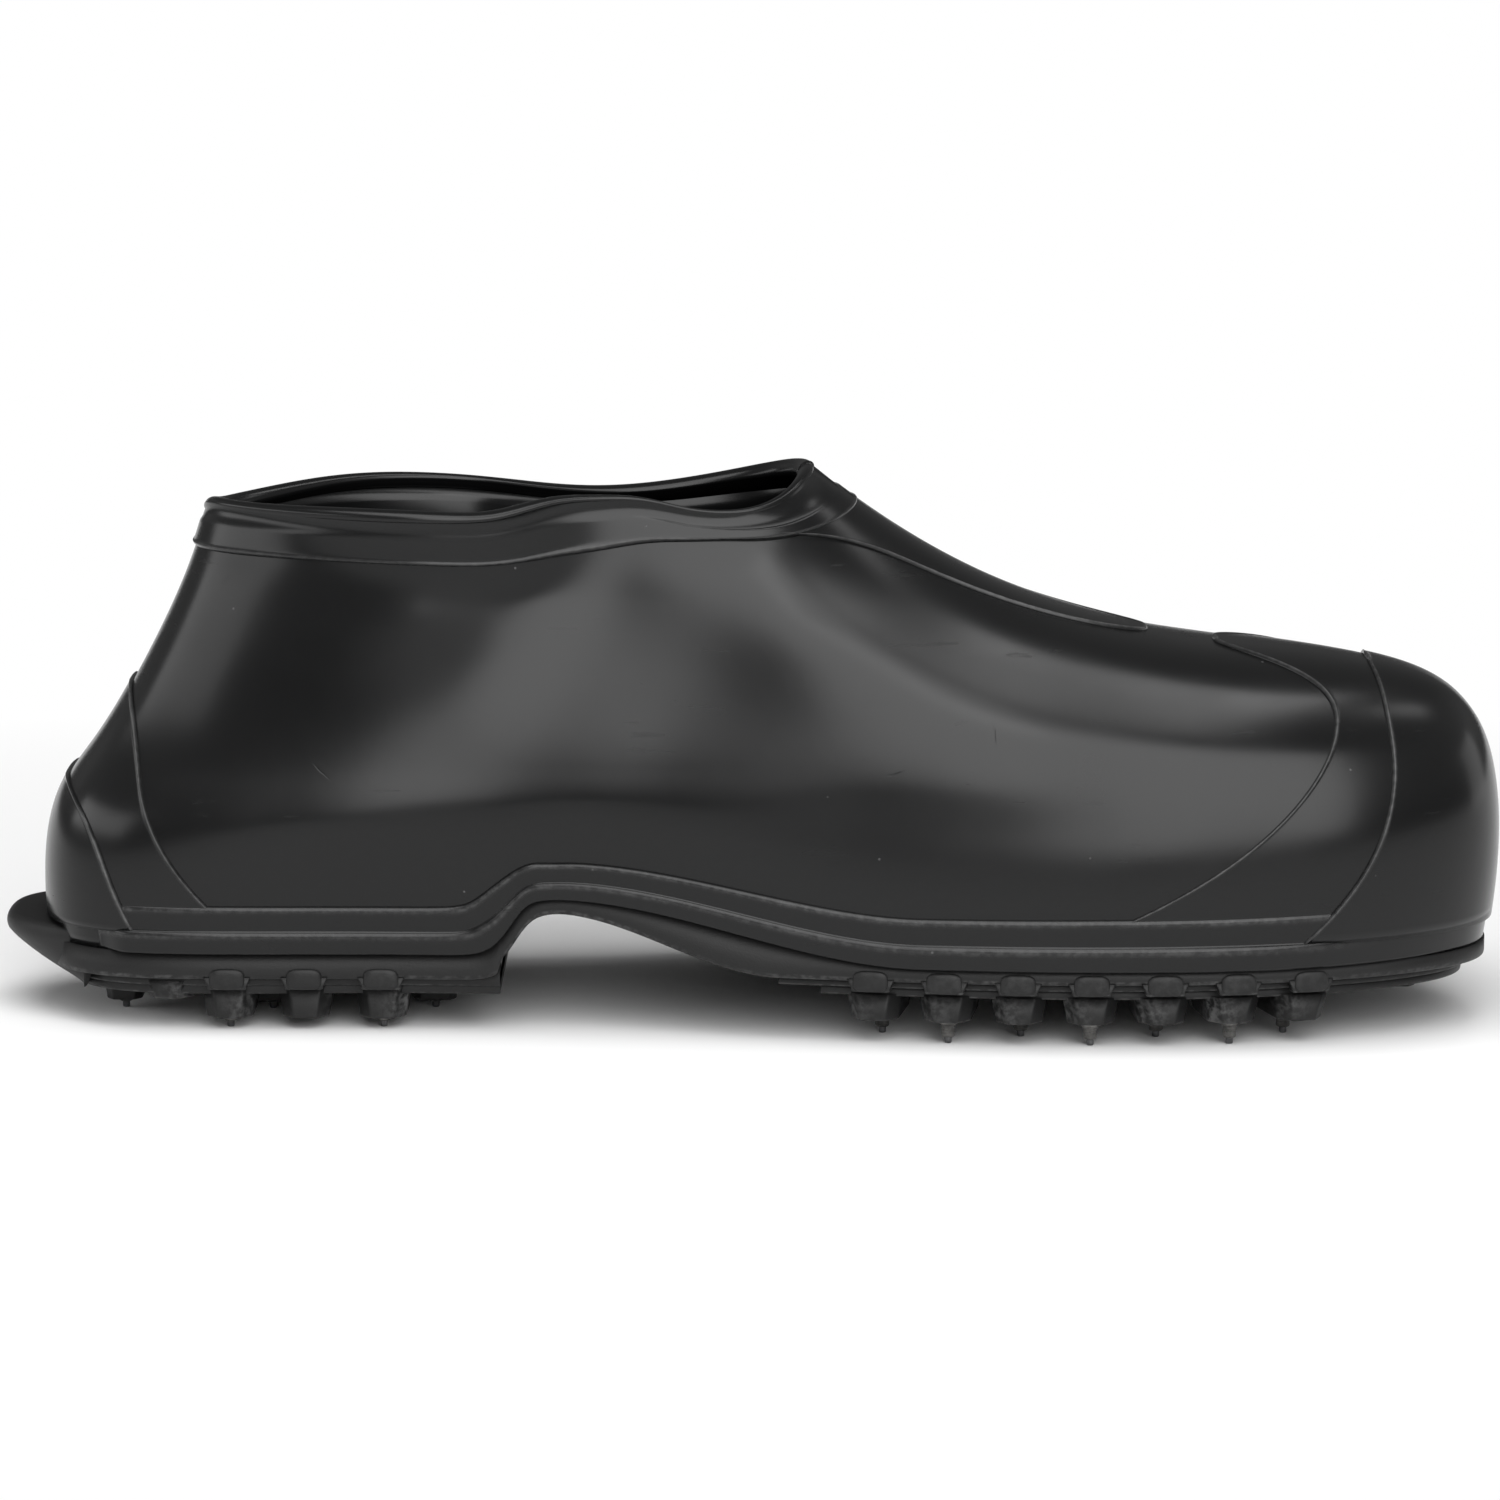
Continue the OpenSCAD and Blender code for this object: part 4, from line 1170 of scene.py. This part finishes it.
def stud_places():
    """Stud places in the order of the CAD nodes."""
    s = sizes("overshoe_sole")
    d = sizes("overshoe_studs")
    fore, heel, _ = lug_stations()
    places = []
    for side in (-1, 1):
        for i, x in enumerate(fore):
            row = d.inner if i % 2 == 0 else d.outer
            places.append(edge_place(x, side, s.lug_inset + row)[0])
    for side, rear in zip((-1, 1), rear_places()):
        places.append(rear)
        places += [edge_place(x, side, s.lug_inset + d.outer)[0] for x in (heel[0], heel[2])]
    return places + heel_places()


def power_wave(wave, power):
    """Sine or cosine raised to a power with its sign kept."""
    return np.sign(wave) * np.abs(wave) ** power


def boss(place, turn, side, middle_z):
    """Low dome on the outsole edge above a lug: an ellipsoid whose sine and cosine are raised to a
    power below one, so that it is nearly a block with round corners, drawn out along the edge.
    Returns shell and a pale tint of 0.25 share all over."""
    squareness = 0.6
    half_l, half_t, half_h = 3.6 * MM, 0.8 * MM, 2.2 * MM
    around = round_angles(48)[None, :]
    up = np.linspace(0.001, math.pi - 0.001, 15)[:, None]
    out = np.sin(up) ** squareness
    x = half_l * out * power_wave(np.cos(around), squareness)
    y = side * half_t * np.cos(up) + 0 * around
    z = middle_z + half_h * out * power_wave(np.sin(around), squareness)
    c, s = math.cos(turn), math.sin(turn)
    points = np.stack([place[0] + c * x - s * y, place[1] + s * x + c * y, z], -1)
    return rounds(points), np.full(x.size, 0.25)


def ledge_tabs():
    """Tapered tabs hung under the outsole edge at each edge lug, each with a boss above it, as pairs
    of shell and pale tint share."""
    s = sizes("overshoe_sole")
    fore, heel, _ = lug_stations()
    low_half = 4.0 * MM
    high_half = low_half + 0.8 * MM
    depth = 2.4 * MM
    low_plan, high_plan = (rounded_outline([(-a, 0), (a, 0), (a, depth), (-a, depth)], 0.4 * MM)
                           for a in (low_half, high_half))
    edges = [(x, s.welt_h) for x in fore] + [(x, s.welt_h - s.heel_wall) for x in heel]
    made = []
    for side in (-1, 1):
        for x, under in edges:
            place, turn = edge_place(x, side, -s.lip)
            low = under - 2.0 * MM
            high = under + 0.5 * MM
            made.append(block(low_plan, high_plan, low, high, 0.5 * MM, place, turn, -side))
            made.append(boss(place, turn, side, under + 0.2 * MM))
    return made


def kick_tab():
    """Wedge behind the heel: across it the tip draws back by a power of the distance from the
    middle. Each section has a flat top, a round nose and an underside that bows down to the tread.
    Returns shell and a pale tint share of 0 everywhere."""
    u = sizes("overshoe_upper")
    s = sizes("overshoe_sole")
    q = np.linspace(-1, 1, 81)[:, None]
    root = u.heel_x + 9.25 * MM
    swept = (s.tab_l + 12 * MM) * np.abs(q) ** 2.6
    tip = u.heel_x - s.tab_l + swept
    nose = 2.7 * MM * (1 - 0.5 * np.abs(q) ** 3)
    top = s.tab_h - 1.5 * MM * np.abs(q) ** 2
    foot = s.plate_h - s.heel_wall + 0.6 * MM
    t = np.linspace(0, 1, 12)[None, :]
    b = np.radians(np.linspace(90, 205, 14))[None, :]
    w = np.linspace(0, 1, 24)[None, 1:]
    top_x = root + (tip + nose - root) * t
    nose_x = tip + nose + nose * np.cos(b)
    nose_z = top - nose + nose * np.sin(b)
    end_x = nose_x[:, -1:]
    end_z = nose_z[:, -1:]
    under_x = end_x + (root - end_x) * w
    bowed_z = end_z + (foot - end_z) * np.sin(w * math.pi / 2) ** 0.85
    # The last point stands twice, so that the ends close in quads
    x = np.concatenate([top_x, nose_x, under_x, under_x[:, -1:]], axis=1)
    z = np.concatenate([top + 0 * top_x, nose_z, bowed_z, bowed_z[:, -1:]], axis=1)
    y = swing(u.heel_x) + q * s.tab_w / 2 + 0 * x
    return sweep(np.stack([x, y, z], -1)), np.zeros(x.size)


class OVERSHOE_OT_outsole(bpy.types.Operator):
    """Build the outsole slab with its ledge tabs and the kick-off tab"""

    bl_idname = "overshoe.outsole"
    bl_label = "Outsole"

    def execute(self, context):
        s = sizes("overshoe_sole")
        xs = stations(*edge_ends(-s.lip), 420)
        heel = 1 - smooth(xs, along(HEEL_BREAST), 0.5 * MM)
        body = slab(xs, -s.lip, seam_z(xs) - 0.15 * MM, under_z(xs) - s.heel_wall * heel, 1.2 * MM)
        shells, wear_and_highlight = zip(body, kick_tab(), *ledge_tabs())
        make_piece("outsole", shells, sole_finish(), wear_and_highlight)
        return {"FINISHED"}


def plate(first, last, step_from, drop):
    """Tread plate in two tiers between two stations, lowered by a drop: pairs of shell and pale tint
    share.
    """
    s = sizes("overshoe_sole")
    tiers = ((first, s.plate_inset, s.plate_step_h - drop, s.welt_h + 0.2 * MM),
             (step_from, s.plate_inset + 1 * MM, s.plate_h - drop, s.plate_step_h + 0.3 * MM))
    made = []
    for begin, inset, low, high in tiers:
        rear, front = edge_ends(inset)
        xs = stations(max(begin, rear), min(last, front), 160)
        made.append(slab(xs, inset, np.full_like(xs, high), np.full_like(xs, low), LUG_RIM))
    return made


def edge_lug(x, side, depth, low, highlight_corner):
    """Edge lug of the tread, with a painted highlight, a pale tint as if lit, on the cut facet of
    its rear corner (0) or front corner (1).
    """
    s = sizes("overshoe_sole")
    place, turn = edge_place(x, side, s.lug_inset)
    low_plan = lug_plan(s.lug_w, depth, s.lug_cut, s.lug_draft)
    high_plan = lug_plan(s.lug_w, depth, s.lug_cut, 0)
    corner = np.arange(len(low_plan)) // (len(low_plan) // 6)
    facet = (5, 2)[highlight_corner]
    # Painted highlight: pale tint on the cut facet and its corner.
    facet_highlight = 2.6 * (corner == facet) + 1.2 * (corner == highlight_corner)
    high = s.plate_h + LUG_SUNK
    return block(low_plan, high_plan, low, high, LUG_RIM, place, turn, -side, facet_highlight)


def middle_lug(place, width, depth, low):
    """Free-standing lug centred on a place."""
    s = sizes("overshoe_sole")
    low_plan = lug_plan(width, depth, MIDDLE_CUT, s.lug_draft)
    high_plan = lug_plan(width, depth, MIDDLE_CUT, 0)
    face = (place[0], place[1] - depth / 2)
    return block(low_plan, high_plan, low, s.plate_h + LUG_SUNK, LUG_RIM, face)


class OVERSHOE_OT_treads(bpy.types.Operator):
    """Build the forefoot and heel tread plates with their lugs"""

    bl_idname = "overshoe.treads"
    bl_label = "Treads"

    def execute(self, context):
        u = sizes("overshoe_upper")
        s = sizes("overshoe_sole")
        fore, heel, bars = lug_stations()
        sides = (-1, 1)
        parts = plate(along(FORE_PLATE), along(100), along(FORE_STEP), 0.0)
        parts += [edge_lug(x, side, s.fore_lug_d, s.lug_h, 0) for side in sides for x in fore]
        parts += [middle_lug(middle_place(x), 8 * MM, 26 * MM, BAR_FACE) for x in bars]
        parts.append(middle_lug(middle_place(along(TOE_BAR)), 9 * MM, 30 * MM, BAR_FACE))
        shells, wear_and_highlight = zip(*parts)
        make_piece("forefoot_tread", shells, sole_finish(), wear_and_highlight)
        rear = u.heel_x + 9.5 * MM
        parts = plate(rear, along(HEEL_BREAST), rear, s.heel_wall)
        parts += [edge_lug(x, side, s.heel_lug_d, s.heel_lug_h, 1) for side in sides for x in heel]
        parts += [middle_lug(place, 9.5 * MM, 12 * MM, s.heel_lug_h) for place in rear_places()]
        parts += [edge_lug(along(CORNER_LUGS), side, 12 * MM, BAR_FACE, 1) for side in sides]
        parts += [middle_lug(place, 11 * MM, 13 * MM, s.heel_lug_h) for place in heel_places()]
        shells, wear_and_highlight = zip(*parts)
        make_piece("heel_tread", shells, sole_finish(), wear_and_highlight)
        return {"FINISHED"}


def jacket_profile():
    """Radius and height along a stud jacket: the bore at its tip, the rounded body, the collar
    under the lug and the flange held in the rubber."""
    d = sizes("overshoe_studs")
    tip = d.pin_tip
    r = d.body_d / 2
    neck = r - 0.1 * MM
    bore = d.pin_d / 2 + 0.03 * MM
    collar = d.collar_d / 2
    flange = d.flange_d / 2
    flange_low = STUD_SEAT + 2.2 * MM
    top = STUD_SEAT + 3.4 * MM
    return [
        (0, tip + 0.3 * MM), (bore, tip + 0.3 * MM), (bore, tip),
        (r - 0.45 * MM, tip), (r - 0.2 * MM, tip + 0.15 * MM), (neck, tip + 0.4 * MM),
        (neck, STUD_SEAT - 1.25 * MM), (collar - 0.12 * MM, STUD_SEAT - 0.95 * MM),
        (collar, STUD_SEAT - 0.8 * MM), (collar, STUD_SEAT - 0.1 * MM), (r, STUD_SEAT),
        (r, flange_low), (flange, flange_low), (flange, top), (0, top),
    ]


def pin_profile():
    """Radius and height along a carbide pin with a worn tip."""
    r = sizes("overshoe_studs").pin_d / 2
    top = STUD_SEAT + 1.5 * MM
    worn_tip = [(0, 0), (r - 0.3 * MM, 0), (r - 0.1 * MM, 0.07 * MM), (r, 0.28 * MM)]
    return worn_tip + [(r, top), (0, top)]


class OVERSHOE_OT_studs(bpy.types.Operator):
    """Build the stud jackets and the carbide pins, one of each at every stud place"""

    bl_idname = "overshoe.studs"
    bl_label = "Studs"

    def execute(self, context):
        f = sizes("overshoe_finish")
        steel = metal_finish("jacket_zinc", f.steel, roughness=0.3, scratch=0.08)
        carbide = metal_finish("pin_carbide", f.carbide, roughness=0.42, scratch=0.06)
        jacket = jacket_profile()
        pin = pin_profile()
        for i, place in enumerate(stud_places(), 1):
            make_piece(f"stud_jacket_{i:02d}", [revolve(jacket, place)], steel)
            make_piece(f"carbide_pin_{i:02d}", [revolve(pin, place, 28)], carbide)
        return {"FINISHED"}


# Stage


def plain_mesh(name, points, faces, material):
    """Mesh object in the scene from points and faces."""
    mesh = bpy.data.meshes.new(name)
    mesh.from_pydata(points, [], faces)
    mesh.materials.append(material)
    thing = bpy.data.objects.new(name, mesh)
    bpy.context.scene.collection.objects.link(thing)
    return thing


def plain_finish(name, rgb):
    """Plain matt material, its tree and its Principled BSDF."""
    made, tree, shader = new_material(name)
    shader.inputs["Base Color"].default_value = rgba(rgb)
    shader.inputs["Roughness"].default_value = 1.0
    shader.inputs["Specular IOR Level"].default_value = 0.0
    return made, tree, shader


def aim(thing, place, target):
    """Puts a thing at a place with its -Z axis on a target."""
    thing.location = place
    thing.rotation_euler = (Vector(target) - Vector(place)).to_track_quat("-Z", "Y").to_euler()


def soft_box(name, place, target, size, power, spin=0.0):
    """Rectangular area lamp that the camera doesn't see, spun in its own plane by some degrees."""
    data = bpy.data.lights.new(name, "AREA")
    data.shape = "RECTANGLE"
    data.size, data.size_y = size
    data.energy = power
    lamp = bpy.data.objects.new(name, data)
    bpy.context.scene.collection.objects.link(lamp)
    aim(lamp, place, target)
    lamp.rotation_euler.rotate_axis("Z", math.radians(spin))
    lamp.visible_camera = False
    return lamp


def shown_directly(tree):
    """1 for rays that show the background: straight from the camera, mirrored or through glass."""
    path = add_node(tree, "ShaderNodeLightPath")
    seen = maths(tree, "MAXIMUM", path.outputs["Is Camera Ray"], path.outputs["Is Glossy Ray"])
    return maths(tree, "MAXIMUM", seen, path.outputs["Is Transmission Ray"])


def floor_finish(rgb):
    """Pale matt floor that runs into plain white away from the shoe."""
    made, tree, shader = plain_finish("floor_pale", rgb)
    drawn_in = stretched(tree, own_place(tree), (0.55, 1, 1))
    away = add_node(tree, "ShaderNodeVectorMath", {0: drawn_in}, operation="LENGTH")
    far = times(tree, band(tree, away.outputs["Value"], 0.1, 0.38), shown_directly(tree))
    matt = shader.outputs[0]
    white = add_node(tree, "ShaderNodeEmission", {"Color": WHITE, "Strength": 1.0}).outputs[0]
    mixed = add_node(tree, "ShaderNodeMixShader", {0: far, 1: matt, 2: white})
    tree.links.new(mixed.outputs[0], tree.nodes["Material Output"].inputs[0])
    return made


def pale_floor(side, rgb):
    """Square floor under the stud tips."""
    a = side / 2
    corners = [(-a, -a, 0), (a, -a, 0), (a, a, 0), (-a, a, 0)]
    card = plain_mesh("floor", corners, [(0, 1, 2, 3)], floor_finish(rgb))


def white_room(fill):
    """World that is white where it is seen and gives a low fill to matt surfaces."""
    world = bpy.data.worlds.new("studio_white")
    world.use_nodes = True
    tree = world.node_tree
    level = band(tree, shown_directly(tree), 0, 1, fill, 1)
    tree.nodes["Background"].inputs[0].default_value = WHITE
    tree.links.new(level, tree.nodes["Background"].inputs[1])
    return world


def tent_finish(radius, grey, side_grey):
    """Dark cloth with a low level of its own, a little higher beside the toe and the heel."""
    made, tree, shader = plain_finish("tent_dark", (0.0, 0.0, 0.0))
    place = add_node(tree, "ShaderNodeSeparateXYZ", {0: own_place(tree)}).outputs
    beside = band(tree, maths(tree, "ABSOLUTE", place["X"]), 0.4 * radius, 0.7 * radius)
    above_floor = band(tree, place["Z"], 0.08 * radius, 0.3 * radius)
    below_top = band(tree, place["Z"], 0.75 * radius, 0.92 * radius, 1, 0)
    lit = times(tree, beside, times(tree, above_floor, below_top))
    shader.inputs["Emission Color"].default_value = WHITE
    tree.links.new(band(tree, lit, 0, 1, grey, side_grey), shader.inputs["Emission Strength"])
    return made


def dark_tent(radius, grey, side_grey):
    """Dark half dome, met by mirrored rays only, so that the gloss shows just the soft boxes."""
    turn = round_angles(64)[None, :]
    up = np.linspace(0.02, math.pi / 2, 17)[:, None]
    flat = np.cos(up)
    dome = radius * np.stack([flat * np.cos(turn), flat * np.sin(turn), np.sin(up) + 0 * turn], -1)
    points, quads = rounds(dome)
    cloth = tent_finish(radius, grey, side_grey)
    tent = plain_mesh("dark_tent", points.tolist(), quads.tolist(), cloth)
    tent.visible_camera = False
    tent.visible_diffuse = False
    tent.visible_transmission = False
    tent.visible_shadow = False


def side_camera():
    """Camera on the inner side of the shoe, at a distance and an elevation from its target."""
    studio = sizes("overshoe_studio")
    away = studio.camera_away
    up = studio.camera_up
    target = (0, 0, studio.target_h)
    data = bpy.data.cameras.new("camera")
    data.lens = studio.lens
    data.sensor_width = 36
    data.clip_end = 100
    camera = bpy.data.objects.new("camera", data)
    bpy.context.scene.collection.objects.link(camera)
    aim(camera, (0, -away * math.cos(up), studio.target_h + away * math.sin(up)), target)
    return camera


class OVERSHOE_OT_stage(bpy.types.Operator):
    """Build the pale floor, the dark tent, the soft boxes, the white room and the camera"""

    bl_idname = "overshoe.stage"
    bl_label = "Stage"

    def execute(self, context):
        studio = sizes("overshoe_studio")
        scene = context.scene
        scene.view_settings.view_transform = "Standard"
        pale_floor(40, studio.floor)
        dark_tent(3.5, studio.tent, studio.tent_side)
        shoe = (0, 0, 0.05)
        below_top = (-0.245, -0.3, 0.05)
        below_toe = (0.365, 0.25, 0.05)
        soft_box("top_panel", (-0.245, -0.3, 1.35), below_top, (1.0, 1.0), studio.top)
        soft_box("toe_panel", (0.365, 0.25, 1.35), below_toe, (0.17, 1.15), studio.toe_top, -10)
        soft_box("front_box", (0.276, -1.197, 0.91), shoe, (1.5, 1.59), studio.front)
        soft_box("heel_box", (-1.31, -0.281, 0.47), shoe, (1.43, 0.4), studio.heel_side)
        soft_box("edge_lamp", (1.2, 0.45, 0.3), shoe, (0.5, 0.55), studio.edge_side)
        soft_box("toe_lamp", (0.69, 0.42, 1.07), shoe, (0.2, 0.25), studio.toe_side)
        scene.world = white_room(studio.fill)
        scene.camera = side_camera()
        return {"FINISHED"}


OPERATORS = (
    OVERSHOE_OT_upper,
    OVERSHOE_OT_collar,
    OVERSHOE_OT_plies,
    OVERSHOE_OT_foxing,
    OVERSHOE_OT_insole,
    OVERSHOE_OT_outsole,
    OVERSHOE_OT_treads,
    OVERSHOE_OT_studs,
    OVERSHOE_OT_stage,
)


class OVERSHOE_PT_panel(bpy.types.Panel):
    """Lists the pieces of the overshoe and their sizes"""

    bl_idname = "OVERSHOE_PT_panel"
    bl_label = "Overshoe"
    bl_space_type = "VIEW_3D"
    bl_region_type = "UI"
    bl_category = "Overshoe"

    def draw(self, context):
        for operator in OPERATORS:
            self.layout.operator(operator.bl_idname)
        for name, group in GROUPS.items():
            box = self.layout.box()
            for label in group.__annotations__:
                box.prop(getattr(context.scene, name), label)


def register():
    """Registers the classes and hangs the sizes on the scene."""
    for made in (*GROUPS.values(), *OPERATORS, OVERSHOE_PT_panel):
        bpy.utils.register_class(made)
    for name, group in GROUPS.items():
        setattr(bpy.types.Scene, name, bpy.props.PointerProperty(type=group))


def unregister():
    """Takes the sizes off the scene and unregisters the classes."""
    for name in GROUPS:
        delattr(bpy.types.Scene, name)
    for made in (OVERSHOE_PT_panel, *reversed(OPERATORS), *reversed(GROUPS.values())):
        bpy.utils.unregister_class(made)


def main():
    """Builds every piece and the stage."""
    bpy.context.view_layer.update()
    register()
    bpy.ops.overshoe.upper()
    bpy.ops.overshoe.collar()
    bpy.ops.overshoe.plies()
    bpy.ops.overshoe.foxing()
    bpy.ops.overshoe.insole()
    bpy.ops.overshoe.outsole()
    bpy.ops.overshoe.treads()
    bpy.ops.overshoe.studs()
    bpy.ops.overshoe.stage()


if __name__ == "__main__":
    main()
